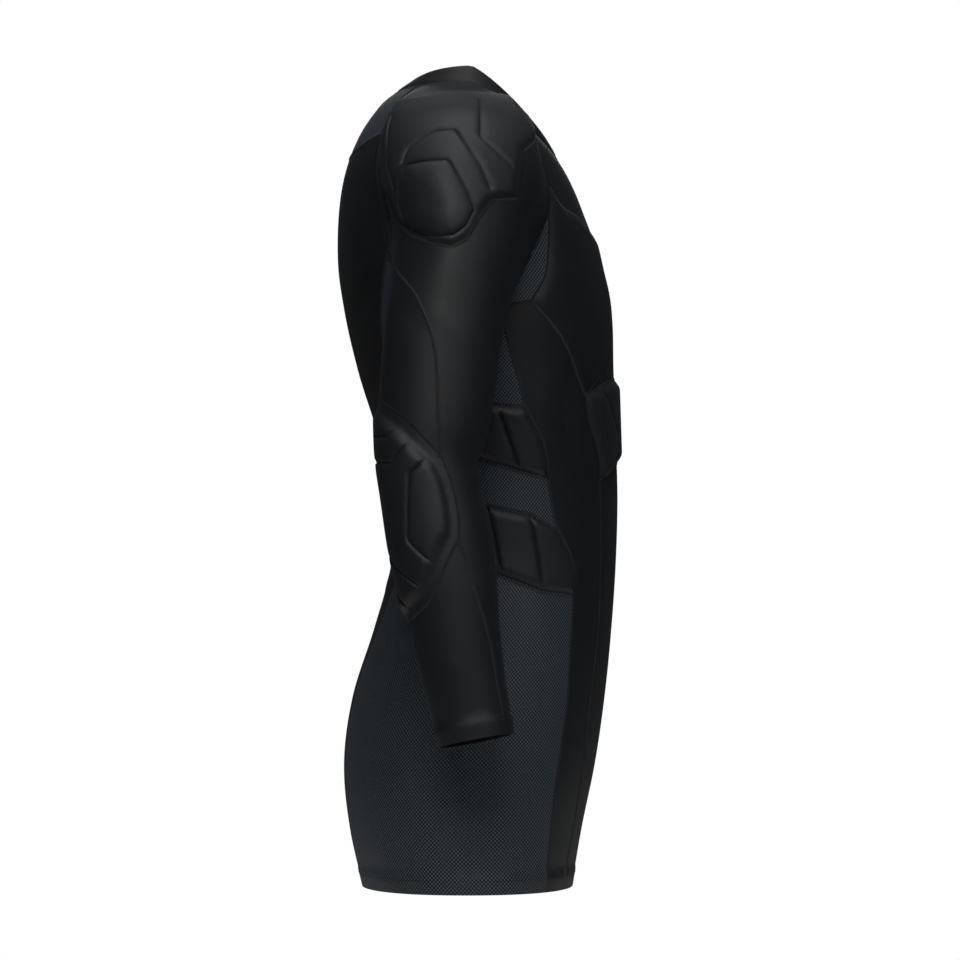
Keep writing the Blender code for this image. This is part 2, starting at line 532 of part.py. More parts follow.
def pad_height(flat, outline, shape, grooves):
    """How far a pad stands out of the cloth at flat points: a rounded rise inside its border, less its grooves."""
    border, rise, height, groove_depth, groove_width = shape
    part = np.clip((distance(flat, closed(outline)) - border) / rise, 0, 1)
    raised = height * np.sqrt(1 - (1 - part) ** 2)
    for groove in grooves:
        near = distance(flat, groove) / groove_width
        raised -= groove_depth * np.exp(-near ** 2) * part
    return raised


def inset(loop, by):
    """A loop drawn in by a distance, with the points that would cross it left out."""
    before, after = np.roll(loop, 1, axis=0), np.roll(loop, -1, axis=0)
    run = after - before
    across = np.stack([-run[:, 1], run[:, 0]], 1) / np.linalg.norm(run, axis=1)[:, None]
    area = (loop[:, 0] * after[:, 1] - after[:, 0] * loop[:, 1]).sum()
    ring = loop + across * by * np.sign(area)
    return ring[inside(ring, loop) & (distance(ring, closed(loop)) > 0.8 * by)]


def net(outline, holes, marks, step):
    """Flat triangles that fill an outline round its holes, through marked points."""
    loops = [outline] + list(holes)
    points, edges = [], []
    for loop in loops:
        first = len(points)
        points.extend(loop)
        edges.extend((first + i, first + (i + 1) % len(loop)) for i in range(len(loop)))
    taken = list(points)

    def add(candidates, apart):
        for point in candidates:
            if np.min(np.linalg.norm(np.array(taken) - point, axis=1)) > apart:
                points.append(point)
                taken.append(point)

    for line in marks:
        clear = inside(line, outline) & (distance(line, closed(outline)) > MARK_FROM_EDGE)
        for hole in holes:
            clear &= ~inside(line, hole) & (distance(line, closed(hole)) > MARK_FROM_EDGE)
        add(line[clear], MARK_APART)
    low, high = outline.min(0), outline.max(0)
    rows = np.arange(low[1] + step / 2, high[1], step * ROW_SHARE)
    lattice = np.array([(x + (number % 2) * step / 2, y) for number, y in enumerate(rows)
                        for x in np.arange(low[0], high[0], step)]).reshape(-1, 2)
    keep = inside(lattice, outline) & (distance(lattice, closed(outline)) > EDGE_SHARE * step)
    for hole in holes:
        keep &= ~inside(lattice, hole) & (distance(lattice, closed(hole)) > EDGE_SHARE * step)
    add(lattice[keep], POINT_SHARE * step)
    made, _, faces, origin, _, _ = delaunay_2d_cdt([Vector(p) for p in points], edges, [], 0, 1e-7)
    made = np.array([points[ids[0]] if ids else tuple(p) for p, ids in zip(made, origin)])
    middle = np.array([made[list(face)].mean(0) for face in faces])
    keep = inside(middle, outline)
    for hole in holes:
        keep &= ~inside(middle, hole)
    faces = [list(face) for face, kept in zip(faces, keep) if kept]
    turned = []
    for a, b, c in faces:
        area = np.cross(made[b] - made[a], made[c] - made[a])
        turned.append([a, b, c] if area > 0 else [a, c, b])
    return made, turned, [min(ids) if ids else -1 for ids in origin]


def piece(name, chart, outline, material, holes=(), relief=None, marks=(), step=NET_STEP, lean_edges=None):
    """Points and faces of one cut piece, with a wall and edges drawn in for the seam gap."""
    surface, scale, facing = chart
    stretch = np.array([scale, 1.0])
    loops = [np.asarray(outline)] + [np.asarray(hole) for hole in holes]
    made, faces, origin = net(loops[0] * stretch, [hole * stretch for hole in loops[1:]],
                              [np.asarray(line) * stretch for line in marks], step)
    places = made / stretch
    points = surface(*places.T)
    normals = chart_normals(chart, places)
    index = {old: new for new, old in enumerate(origin) if old >= 0}
    first = 0
    for number, loop in enumerate(loops):
        ring = [index[first + i] for i in range(len(loop))]
        first += len(loop)
        flat = made[ring]
        after = np.roll(flat, -1, axis=0)
        turn = np.sign((flat[:, 0] * after[:, 1] - after[:, 0] * flat[:, 1]).sum())
        turn *= facing * (1 if number == 0 else -1)
        edge = np.roll(points[ring], -1, axis=0) - points[ring]
        inward = np.cross(normals[ring], edge) * turn
        inward /= np.linalg.norm(inward, axis=1)[:, None]
        behind = np.roll(inward, 1, axis=0)
        both = inward + behind
        room = np.maximum((both * both).sum(1) / 2, 0.05)
        shift = both / room[:, None] * SEAM_GAP / 2
        points[ring] += shift
    if lean_edges is not None:
        normals = lean_edges(places, normals)
    raised = relief(made) if relief is not None else 0.0
    outer = points + normals * np.asarray(raised).reshape(-1, 1)
    inner = points - normals * WALL
    count = len(points)
    if facing < 0:
        faces = [face[::-1] for face in faces]
    edges = {}
    for face in faces:
        for a, b in zip(face, face[1:] + face[:1]):
            edges[(a, b)] = True
    rim = [(a, b) for a, b in edges if (b, a) not in edges]
    body = [tuple(face) for face in faces] + [tuple(i + count for i in face[::-1]) for face in faces]
    body += [(b, a, a + count, b + count) for a, b in rim]
    return name, np.concatenate([outer, inner]), body, material


def seam_normals(chart, pairs):
    """Both pieces at a raglan seam lean their edges the same way, half way between their own directions."""
    table = []
    for own, other_chart, other in pairs:
        own_normal, other_normal = chart_normals(chart, own), chart_normals(other_chart, other)
        shared = own_normal + other_normal
        size = np.linalg.norm(shared, axis=1)
        for place, normal, lean, length in zip(own, own_normal, shared, size):
            table.append((place, lean / length if length > 1.2 else normal))

    def change(places, normals):
        normals = normals.copy()
        for place, normal in table:
            near = np.argmin(np.abs(places - place) @ np.array([0.01, 1.0]))
            if np.abs(places[near] - place) @ np.array([0.01, 1.0]) < 1e-4:
                normals[near] = normal
        return normals

    return change


def fold(start, end, raise_by):
    """Relief of a turned-in edge between two heights of the flat net."""
    low, high = min(start, end), max(start, end)
    return lambda flat: np.where((flat[:, 1] >= low - 1e-6) & (flat[:, 1] <= high + 1e-6), raise_by, 0.0)


def neck_band(seams):
    """The neck band is one ring with a wall, sewn on along the whole neckline."""
    half = np.concatenate([seams["neck_front"][:, 0], seams["neck_side"][1:, 0], seams["neck_back"][1:, 0]])
    bearings = np.concatenate([half, 360 - half[-2:0:-1]])
    heights = np.array([SEAM_GAP / 2, 0.3 * NECK_BAND, 0.7 * NECK_BAND, NECK_BAND])
    places = np.array([(b, v) for v in heights for b in bearings])
    points, normals = torso(*places.T), chart_normals(TORSO, places)
    rows, columns, count = len(heights), len(bearings), len(places)
    puff = np.repeat([0.0, 0.0007, 0.0007, 0.0], columns)
    outer, inner = points + normals * puff[:, None], points - normals * WALL
    body = []
    for row in range(rows - 1):
        for column in range(columns):
            a, b = row * columns + column, row * columns + (column + 1) % columns
            body.append((a, a + columns, b + columns, b))
            body.append((a + count, b + count, b + columns + count, a + columns + count))
    for column in range(columns):
        a, b = column, (column + 1) % columns
        body.append((a, b, b + count, a + count))
        a, b = a + (rows - 1) * columns, b + (rows - 1) * columns
        body.append((b, a, a + count, b + count))
    return "neck_band", np.concatenate([outer, inner]), body, "lycra"


def mirrored(line, about):
    """The same line on the other side of the front or back middle."""
    return line[::-1] * [-1, 1] + [2 * about, 0]


def both_halves(about, *seams):
    """A closed outline from the seams of the right half, which start and end on the middle line."""
    half = np.concatenate([seams[0]] + [seam[1:] for seam in seams[1:]])
    other = mirrored(half, about)
    return np.concatenate([half, other[1:-1]])


def pad_parts(name, chart, outline):
    """Relief and net marks of a pad from its grooves and its border."""
    stretch = np.array([chart[1], 1.0])
    shape = PADS[name]
    lines = [placed(chart, table) for table in GROOVES.get(name, ())]
    if name == "elbow_pad":
        lines += [line * [-1, 1] + [180, 0] for line in lines]
    if name == "belly_pad":
        lines += [line * [-1, 1] for line in lines]
    flat = [spaced(chart, line, PAD_STEP, smooth=False) * stretch for line in lines]
    outline = outline * stretch
    marks = [inset(outline, shape[0] + 0.45 * shape[1])] if shape[1] > 0.008 else []
    marks += [inset(outline, shape[0] + shape[1])]
    if shape[0] > 0.002:
        marks.append(inset(outline, shape[0]))
    for line in flat:
        run = np.gradient(line, axis=0)
        across = np.stack([-run[:, 1], run[:, 0]], 1) / np.linalg.norm(run, axis=1)[:, None]
        marks += [line, line + across * 1.5 * shape[4], line - across * 1.5 * shape[4]]
    return (lambda places: pad_height(places, outline, shape, flat)), [mark / stretch for mark in marks]


def make_pieces():
    """Every piece of the right half and the middle, with a mark on those that the left half repeats."""
    s = seam_network()
    back = {name: seam[::-1] for name, seam in s.items()}
    hem_line = HEM + HEM_FOLD
    hem_relief = fold(HEM, hem_line, FOLD_RAISE)
    cuff_line = SLEEVE_END - CUFF_FOLD
    cuff_relief = fold(cuff_line, SLEEVE_END, FOLD_RAISE)
    pieces = []

    def hem_marks(first, last):
        count = max(2, round(abs(last - first) * TORSO[1] / SEAM_STEP))
        return [level(hem_line + shift, first, last, count)[1:-1] for shift in (0, FOLD_STEP)]

    pairs = [(s[f"torso_{name}"], s[f"sleeve_{name}"]) for name in ("front_0", "front_1", "front_2", "back_0",
                                                                    "back_1")]
    lean = seam_normals(TORSO, [(own, SLEEVE, other) for own, other in pairs])
    lean_sleeve = seam_normals(SLEEVE, [(other, TORSO, own) for own, other in pairs])

    def lean_both(about):
        """The same lean for a piece that crosses the front or back middle."""
        def change(places, normals):
            mirror = np.array([-1, 1, 1])
            own = lean(places, normals)
            other = lean(places * [-1, 1] + [2 * about, 0], normals * mirror) * mirror
            on_right = (places[:, :1] >= 0) & (places[:, :1] <= 180)
            return np.where(on_right, own, other)

        return change

    pieces.append((neck_band(s), False))
    outline = both_halves(0, s["neck_front"], s["torso_front_0"], s["chest_top"], s["centre_edge"],
                          s["belly_top"])
    pieces.append((piece("front_upper", TORSO, outline, "lycra", lean_edges=lean_both(0)), False))
    belly = both_halves(0, back["belly_top"], s["pad_side"], s["belly_lower"])
    relief, marks = pad_parts("belly_pad", TORSO, belly)
    pieces.append((piece("belly_pad", TORSO, belly, "pad", relief=relief, marks=marks, step=PAD_STEP), False))
    outline = both_halves(0, back["belly_lower"], s["front_seam"], back["hem_front"])
    edge = s["front_seam"][-1, 0]
    pieces.append((piece("front_lower", TORSO, outline, "lycra", relief=hem_relief,
                         marks=hem_marks(-edge, edge)), False))
    outline = join(s["torso_front_1"], back["gusset_front"], back["chest_seam"], back["centre_edge"],
                   back["chest_top"])
    relief, marks = pad_parts("chest_panel", TORSO, outline)
    pieces.append((piece("chest_panel", TORSO, outline, "lycra", relief=relief, marks=marks,
                         lean_edges=lean), True))
    outline = join(s["torso_front_2"], back["torso_underarm_front"], back["torso_underarm_back"],
                   back["gusset_lower_back"], back["gusset_lower_front"], s["gusset_front"])
    pieces.append((piece("underarm_gusset", TORSO, outline, "mesh", step=SIDE_MESH_STEP, lean_edges=lean), True))
    mesh_seams = [s[name] for name in ("mesh_top", "upper_rib_front", "mesh_middle", "lower_rib_front", "mesh_low")]
    outline = join(s["gusset_lower_front"], *mesh_seams, back["hem_side_front"], back["front_seam"],
                   back["pad_side"], s["chest_seam"])
    pieces.append((piece("side_front", TORSO, outline, "lycra", relief=hem_relief,
                         marks=hem_marks(s["front_seam"][-1, 0], s["mesh_low"][-1, 0])), True))
    outline = join(s["gusset_lower_back"], s["back_seam"], back["hem_mesh"], back["mesh_low"],
                   back["lower_rib_back"], back["mesh_middle"], back["upper_rib_back"], back["mesh_top"])
    pieces.append((piece("side_mesh", TORSO, outline, "mesh", relief=hem_relief,
                         marks=hem_marks(s["mesh_low"][-1, 0], s["back_seam"][-1, 0]), lean_edges=lean), True))
    for name in ("upper", "lower"):
        outline = join(s[f"{name}_rib_front"], back[f"{name}_rib_back"])
        relief, marks = pad_parts(f"rib_pad_{name}", TORSO, outline)
        pieces.append((piece(f"rib_pad_{name}", TORSO, outline, "pad", relief=relief, marks=marks,
                             step=PAD_STEP), True))
    outline = both_halves(180, back["neck_back"], s["torso_back_0"], s["yoke_lower"])
    pieces.append((piece("back_yoke", TORSO, outline, "mesh", lean_edges=lean_both(180)), False))
    outline = both_halves(180, back["yoke_lower"], s["torso_back_1"], s["back_seam"], s["hem_back"])
    edge = s["back_seam"][-1, 0]
    pieces.append((piece("back_panel", TORSO, outline, "lycra", relief=hem_relief,
                         marks=hem_marks(edge, 360 - edge), lean_edges=lean_both(180)), False))

    cuff_marks = [level(cuff_line - shift, *CUFF_MARKS) for shift in (0, FOLD_STEP)]
    shoulder = spaced(SLEEVE, placed(SLEEVE, SHOULDER_PAD + SHOULDER_PAD[:1]), PAD_STEP, smooth=False)[:-1]
    dome = spaced(SLEEVE, placed(SLEEVE, SHOULDER_DOME + SHOULDER_DOME[:1]), PAD_STEP, smooth=False)[:-1]
    elbow = join(s["elbow_above"], s["elbow_front"], s["elbow_below"], back["elbow_inner"])
    inner_front = s["inner_seam"] - [360, 0]
    outline = join(s["sleeve_neck"], s["sleeve_back_0"], s["sleeve_back_1"], s["sleeve_seam_top"],
                   s["elbow_front"], s["sleeve_seam_low"], s["cuff_front"], inner_front[::-1],
                   s["sleeve_underarm_front"] - [360, 0],
                   back["sleeve_front_2"], back["sleeve_front_1"], back["sleeve_front_0"])
    pieces.append((piece("sleeve_front", SLEEVE, outline, "lycra", holes=[shoulder], relief=cuff_relief,
                         marks=cuff_marks, lean_edges=lean_sleeve), True))
    outline = join(s["sleeve_underarm_back"], s["inner_seam"], back["cuff_back"], back["sleeve_seam_low"],
                   s["elbow_below"], back["elbow_inner"], s["elbow_above"], back["sleeve_seam_top"])
    pieces.append((piece("sleeve_back", SLEEVE, outline, "lycra", relief=cuff_relief, marks=cuff_marks,
                         step=SLEEVE_BACK_STEP, lean_edges=lean_sleeve), True))
    relief, marks = pad_parts("shoulder_pad", SLEEVE, shoulder)
    edge_of_dome = closed(dome * [SLEEVE[1], 1])
    border = PADS["shoulder_pad"][1]

    def round_dome(flat):
        return relief(flat) * np.sqrt(np.clip(distance(flat, edge_of_dome) / border, 0, 1))

    pieces.append((piece("shoulder_pad", SLEEVE, shoulder, "pad", holes=[dome], relief=round_dome, marks=marks,
                         step=PAD_STEP), True))
    relief, marks = pad_parts("shoulder_dome", SLEEVE, dome)
    pieces.append((piece("shoulder_dome", SLEEVE, dome, "pad", relief=relief, marks=marks, step=PAD_STEP), True))
    relief, marks = pad_parts("elbow_pad", SLEEVE, elbow)
    pieces.append((piece("elbow_pad", SLEEVE, elbow, "pad", relief=relief, marks=marks, step=PAD_STEP), True))
    return pieces


def add_material(name, kind):
    red, green, blue, roughness = MATERIALS[kind]
    material = bpy.data.materials.new(name)
    material.use_nodes = True
    shader = material.node_tree.nodes["Principled BSDF"]
    shader.inputs["Base Color"].default_value = (red, green, blue, 1)
    shader.inputs["Roughness"].default_value = roughness
    shader.inputs["Metallic"].default_value = 0.0
    material.diffuse_color = (red, green, blue, 1)
    return material


def add_object(collection, name, points, faces, kind):
    mesh = bpy.data.meshes.new(name)
    mesh.from_pydata([tuple(point) for point in points], [], faces)
    mesh.materials.append(add_material(name, kind))
    mesh.validate()
    mesh.shade_smooth()
    mesh.set_sharp_from_angle(angle=math.radians(50))
    shape = bpy.data.objects.new(name, mesh)
    collection.objects.link(shape)


def build():
    for shape in list(bpy.data.objects):
        bpy.data.objects.remove(shape, do_unlink=True)
    collection = bpy.data.collections.new(OBJECT_NAME)
    bpy.context.scene.collection.children.link(collection)
    for (name, points, faces, kind), paired in make_pieces():
        if not paired:
            add_object(collection, name, points, faces, kind)
            continue
        add_object(collection, name + "_right", points, faces, kind)
        flipped = [tuple(face[::-1]) for face in faces]
        add_object(collection, name + "_left", points * np.array([-1, 1, 1]), flipped, kind)


build()
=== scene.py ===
"""Looks of the padded long-sleeved compression shirt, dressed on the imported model.

The cloth repeats the charts, seams and pad shapes of the part's source on a finer net, with creases, stitched
seams and knit materials. Metres, +Z up, the front faces -Y and the right sleeve hangs at -X.
"""
import math

import bpy
import numpy as np
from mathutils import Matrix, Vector
from mathutils.geometry import delaunay_2d_cdt


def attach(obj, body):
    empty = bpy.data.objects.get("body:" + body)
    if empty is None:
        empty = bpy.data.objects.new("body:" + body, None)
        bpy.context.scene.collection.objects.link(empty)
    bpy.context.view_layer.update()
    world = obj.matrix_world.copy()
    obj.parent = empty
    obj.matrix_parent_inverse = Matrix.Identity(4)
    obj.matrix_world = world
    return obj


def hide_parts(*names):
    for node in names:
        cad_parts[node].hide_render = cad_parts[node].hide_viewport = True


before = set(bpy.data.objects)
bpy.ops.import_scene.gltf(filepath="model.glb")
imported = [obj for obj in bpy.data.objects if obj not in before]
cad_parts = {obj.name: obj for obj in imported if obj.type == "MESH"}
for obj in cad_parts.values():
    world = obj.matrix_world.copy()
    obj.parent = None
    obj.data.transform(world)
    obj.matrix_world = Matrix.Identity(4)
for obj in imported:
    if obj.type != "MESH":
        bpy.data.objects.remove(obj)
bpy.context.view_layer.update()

WALL = 0.0012
SEAM_GAP = 0.00002
HEM = -0.710
HEM_FOLD = 0.015
CUFF_FOLD = 0.0155
FOLD_RAISE = 0.0008
NECK_BAND = 0.015
NET_STEP = 0.0060
PAD_STEP = 0.0032
SEAM_STEP = 0.0070
# Steps along the edges that run at one height, and the bearings and steps of the marks inside a cuff
NECK_STEPS = {"front": 21, "side": 18, "back": 15}
UNDERARM_STEPS = {"back": 18, "front": 6}
CUFF_STEPS = {"back": 39, "front": 9}
INNER_SEAM_STEPS = 69
CUFF_MARKS = (-140, 210, 60)
# Shares of a net's step: between rows, from the outline to the first point, and least between two points
ROW_SHARE, EDGE_SHARE, POINT_SHARE = 0.88, 0.45, 0.60
MARK_FROM_EDGE, MARK_APART = 0.0010, 0.0007
# Where net marks stand: in a pad's rise, and beside its grooves and round the dome in widths of the groove
RISE_SHARES, GROOVE_SHARES, RING_SHARES = (0.3, 0.62, 1.0), (0.0, 0.7, -0.7, 1.6, -1.6), (0.9, 1.9)
# A pad's flat border is marked too where it is wider than this.
MARKED_BORDER = 0.002
# The least share of its distance that an inset point keeps, and the sharpest corner that a seam gap follows
INSET_KEEP, SHARPEST_CORNER = 0.8, 0.05
# The step at the inner edge of a turned-in hem or cuff
FOLD_STEP = 0.0015
# How many samples divide a line between two of its points, and how many stand along the raglan seams
FINE_STEPS, RAGLAN_SAMPLES = 24, 800

# Side drawing of the wearer's right side: one unit is 0.9 mm on the middle plane, seen from 6 m away.
DRAWING_UNIT = 0.0009
DRAWING_ZERO = np.array([478.0, 95.0])
DRAWING_CENTRE = np.array([480.0, 480.0])
EYE_DISTANCE = 6.0

# Bearings run from 0 at the front middle through 90 at the right side to 180 at the back middle.
# Columns: v, z_front, z_side, z_back, y_front, y_side, y_back, half_width, squareness
TORSO_SECTIONS = (
    (0.015, -0.042, 0.022, 0.010, -0.062, 0.006, 0.060, 0.074, 2.0),
    (0.000, -0.056, 0.008, 0.002, -0.070, 0.008, 0.073, 0.082, 2.0),
    (-0.015, -0.065, 0.000, -0.0075, -0.075, 0.009, 0.0855, 0.097, 2.05),
    (-0.030, -0.074, -0.008, -0.022, -0.080, 0.010, 0.097, 0.112, 2.1),
    (-0.060, -0.092, -0.032, -0.048, -0.0885, 0.011, 0.1115, 0.134, 2.2),
    (-0.090, -0.110, -0.063, -0.078, -0.0955, 0.012, 0.121, 0.149, 2.3),
    (-0.120, -0.129, -0.102, -0.112, -0.1030, 0.012, 0.1255, 0.159, 2.3),
    (-0.150, -0.150, -0.150, -0.150, -0.1110, 0.011, 0.126, 0.163, 2.3),
    (-0.190, -0.190, -0.190, -0.190, -0.1195, 0.008, 0.121, 0.163, 2.3),
    (-0.250, -0.250, -0.250, -0.250, -0.1220, 0.001, 0.1075, 0.158, 2.3),
    (-0.310, -0.310, -0.310, -0.310, -0.1240, -0.006, 0.089, 0.149, 2.3),
    (-0.360, -0.360, -0.360, -0.360, -0.1255, -0.011, 0.079, 0.143, 2.25),
    (-0.420, -0.420, -0.420, -0.420, -0.124, -0.011, 0.078, 0.142, 2.25),
    (-0.480, -0.480, -0.480, -0.480, -0.120, -0.004, 0.0935, 0.150, 2.25),
    (-0.540, -0.540, -0.540, -0.540, -0.114, 0.004, 0.1125, 0.162, 2.25),
    (-0.600, -0.600, -0.600, -0.600, -0.1053, 0.009, 0.1205, 0.170, 2.25),
    (-0.660, -0.660, -0.660, -0.660, -0.093, 0.011, 0.115, 0.171, 2.25),
    (-0.710, -0.710, -0.710, -0.710, -0.0845, 0.010, 0.1035, 0.168, 2.25),
)
# How fast a level ring drops from the side towards the front and the back
DROP_FRONT, DROP_BACK = 1.2, 1.8

# The raglan seam by torso height, and the point of the sleeve's outer line at the same step.
# Columns: v, front_bearing, back_bearing, x, y, z
RAGLAN = (
    (0.000, 63, 128, -0.082, 0.008, 0.008),
    (-0.030, 61, 128, -0.112, 0.012, -0.001),
    (-0.060, 59, 127, -0.150, 0.014, -0.012),
    (-0.090, 58, 125, -0.190, 0.016, -0.030),
    (-0.115, 60, 121, -0.224, 0.018, -0.068),
    (-0.145, 68, 116, -0.242, 0.019, -0.125),
)
UNDERARM_DIP, UNDERARM_POWER = 0.040, 0.8
UNDERARM_GAP = 0.0005
INNER_SEAM = 215.0
SEAM_BEARING = 115.0
# The sleeve cap's corners: how far out they stand, and their bearing
SHOULDER_CORNER, CORNER_BEARING = 0.74, 50.0
# How many degrees from a raglan seam the cap is drawn onto it
SEAM_BLEND = 65
# No pad or seam on the sleeve comes nearer to the raglan seams, in degrees, or to the neckline than this.
SEAM_CLEAR, NECK_CLEAR = 8.0, 0.004

# Sleeve rings below the armpit, from the upper arm to the cuff. Columns: x, y, z, half_depth, half_width
ARM_RINGS = (
    (-0.2110, 0.0299, -0.2163, 0.0516, 0.0455),
    (-0.2195, 0.0354, -0.2686, 0.0502, 0.0435),
    (-0.2245, 0.0388, -0.3033, 0.0475, 0.0420),
    (-0.2280, 0.0415, -0.3300, 0.0430, 0.0400),
    (-0.2315, 0.0385, -0.3560, 0.0418, 0.0395),
    (-0.2375, 0.0300, -0.4027, 0.0432, 0.0395),
    (-0.2420, 0.0240, -0.4413, 0.0413, 0.0380),
    (-0.2450, 0.0202, -0.4714, 0.0392, 0.0365),
    (-0.2500, 0.0107, -0.5272, 0.0357, 0.0330),
    (-0.2525, 0.0045, -0.5560, 0.0340, 0.0310),
    (-0.2540, 0.0015, -0.5715, 0.0330, 0.0300),
)

# Heights where the chest panel's top, the underarm gusset and the back yoke reach the raglan seams
CHEST_TOP_V = -0.092
GUSSET_TOP_V = -0.116
YOKE_V = -0.060
YOKE_MIDDLE_V = -0.071

# Seams as they lie on the side drawing, from top to bottom: across and down
TORSO_LINES = {
    "chest_top": ((563, 208), (574, 215), (584, 224), (589, 231)),
    "centre_edge": ((589, 231), (595, 243), (602, 268), (608, 294), (611, 319), (611, 343), (607, 362),
                    (598, 379), (585, 395)),
    "chest_seam": ((585, 395), (578, 377), (570, 353), (552, 324), (531, 300)),
    "gusset_front": ((531, 300), (544, 278), (548, 252)),
    "gusset_lower_front": ((531, 300), (515, 303), (498, 309)),
    "gusset_lower_back": ((498, 309), (465, 324), (430, 318), (405, 298)),
    "mesh_top": ((498, 309), (504, 324), (512, 356), (521, 386), (525, 408)),
    "upper_rib_front": ((525, 408), (533, 424), (542, 443), (546, 460), (548, 479)),
    "mesh_middle": ((548, 479), (552, 505), (557, 530)),
    "lower_rib_front": ((557, 530), (564, 544), (571, 558), (575, 577), (573, 595)),
    "mesh_low": ((573, 595), (572, 625), (570, 657), (567, 706), (562, 742), (555, 791), (549, 851),
                 (545, 884)),
    "upper_rib_back": ((525, 408), (495, 405), (466, 402), (446, 404), (438, 416), (440, 440), (452, 451),
                       (477, 458), (518, 470), (548, 479)),
    "lower_rib_back": ((557, 530), (530, 515), (490, 507), (458, 502), (446, 508), (441, 527), (446, 551),
                       (465, 565), (500, 575), (542, 591), (573, 595)),
    "pad_side": ((585, 395), (588, 418), (595, 442), (599, 460), (600, 479)),
    "front_seam": ((600, 479), (601, 560), (598, 633), (591, 694), (585, 742), (579, 791), (573, 830),
                   (566, 868), (563, 884)),
    "belly_top": ((585, 395), (598, 387), (608, 382)),
    "belly_lower": ((600, 479), (607, 475), (614, 467)),
}
SLEEVE_LINES = {
    "sleeve_seam_top": ((397, 272), (413, 292), (425, 317), (433, 340), (437, 372), (438, 409), (440, 457)),
    "elbow_front": ((440, 457), (448, 477), (454, 500), (457, 520), (457, 538)),
    "sleeve_seam_low": ((457, 538), (469, 575), (482, 612), (491, 645), (497, 680), (504, 722), (506, 741)),
    "elbow_above": ((404, 420), (421, 437), (440, 457)),
    "elbow_below": ((457, 538), (451, 549), (441, 571), (427, 602), (411, 619)),
}
# The seam beside the back panel, as bearing and height
BACK_SEAM = ((122, -0.20), (127, -0.28), (134, -0.36), (141, -0.42), (148, -0.46), (155, -0.49),
             (160, -0.53), (161, -0.60), (161, -0.66), (161, HEM))
BELLY_TOP_MIDDLE_V, BELLY_LOWER_MIDDLE_V = -0.2560, -0.3300
ELBOW_MIDDLE, ELBOW_TOP_LENGTH, ELBOW_END_LENGTH = 90.0, 0.377, 0.570
# Outlines of the shoulder pad and of the dome let into it, on the same drawing
SHOULDER_PAD = ((399, 98), (424, 97), (450, 92), (480, 93), (502, 97), (517, 109), (524, 126), (523, 150),
                (519, 175), (517, 197), (492, 199), (478, 217), (466, 238), (452, 246), (432, 242),
                (411, 234), (399, 222), (391, 200), (384, 186), (381, 160), (383, 135), (388, 112))
SHOULDER_DOME = ((408, 166), (428, 162), (448, 161), (457, 176), (467, 193), (474, 210), (466, 226),
                 (454, 235), (438, 237), (422, 235), (406, 226), (400, 203), (400, 182))

# Grooves pressed into the pads, on the same drawing
GROOVES = {
    "shoulder_pad": (
        ((403, 164), (409, 149), (423, 138), (437, 132), (455, 131), (467, 148), (480, 166), (490, 190)),
        ((479, 102), (480, 138), (515, 172)),
        ((393, 118), (389, 144), (388, 162), (396, 190)),
    ),
    "elbow_pad": (
        ((379, 436), (390, 437), (400, 424)),
        ((381, 461), (394, 463), (412, 441)),
        ((426, 460), (411, 474), (410, 541), (432, 562)),
        ((393, 553), (422, 587)),
        ((398, 587), (409, 606)),
    ),
    "rib_pad_upper": (((499, 411), (517, 463)), ((464, 408), (476, 452))),
    "rib_pad_lower": (((530, 520), (541, 584)), ((489, 512), (500, 569))),
    "belly_pad": (((600, 392), (608, 416), (613, 435), (614, 458)),
                  ((592, 402), (598, 425), (603, 446), (605, 466))),
}

# Raised pieces: the flat border, the rise from it, the height inside, and how deep and wide its grooves are
PADS = {
    "shoulder_pad": (0.001, 0.006, 0.0028, 0.0017, 0.0011),
    "shoulder_dome": (0.0012, 0.020, 0.0040, 0.0013, 0.0013),
    "elbow_pad": (0.008, 0.011, 0.0050, 0.0020, 0.0012),
    "rib_pad_upper": (0.0005, 0.006, 0.0045, 0.0024, 0.0013),
    "rib_pad_lower": (0.0005, 0.006, 0.0045, 0.0024, 0.0013),
    "belly_pad": (0.0005, 0.009, 0.0052, 0.0018, 0.0014),
    "chest_panel": (0.0, 0.010, 0.0022, 0.0, 0.0013),
}

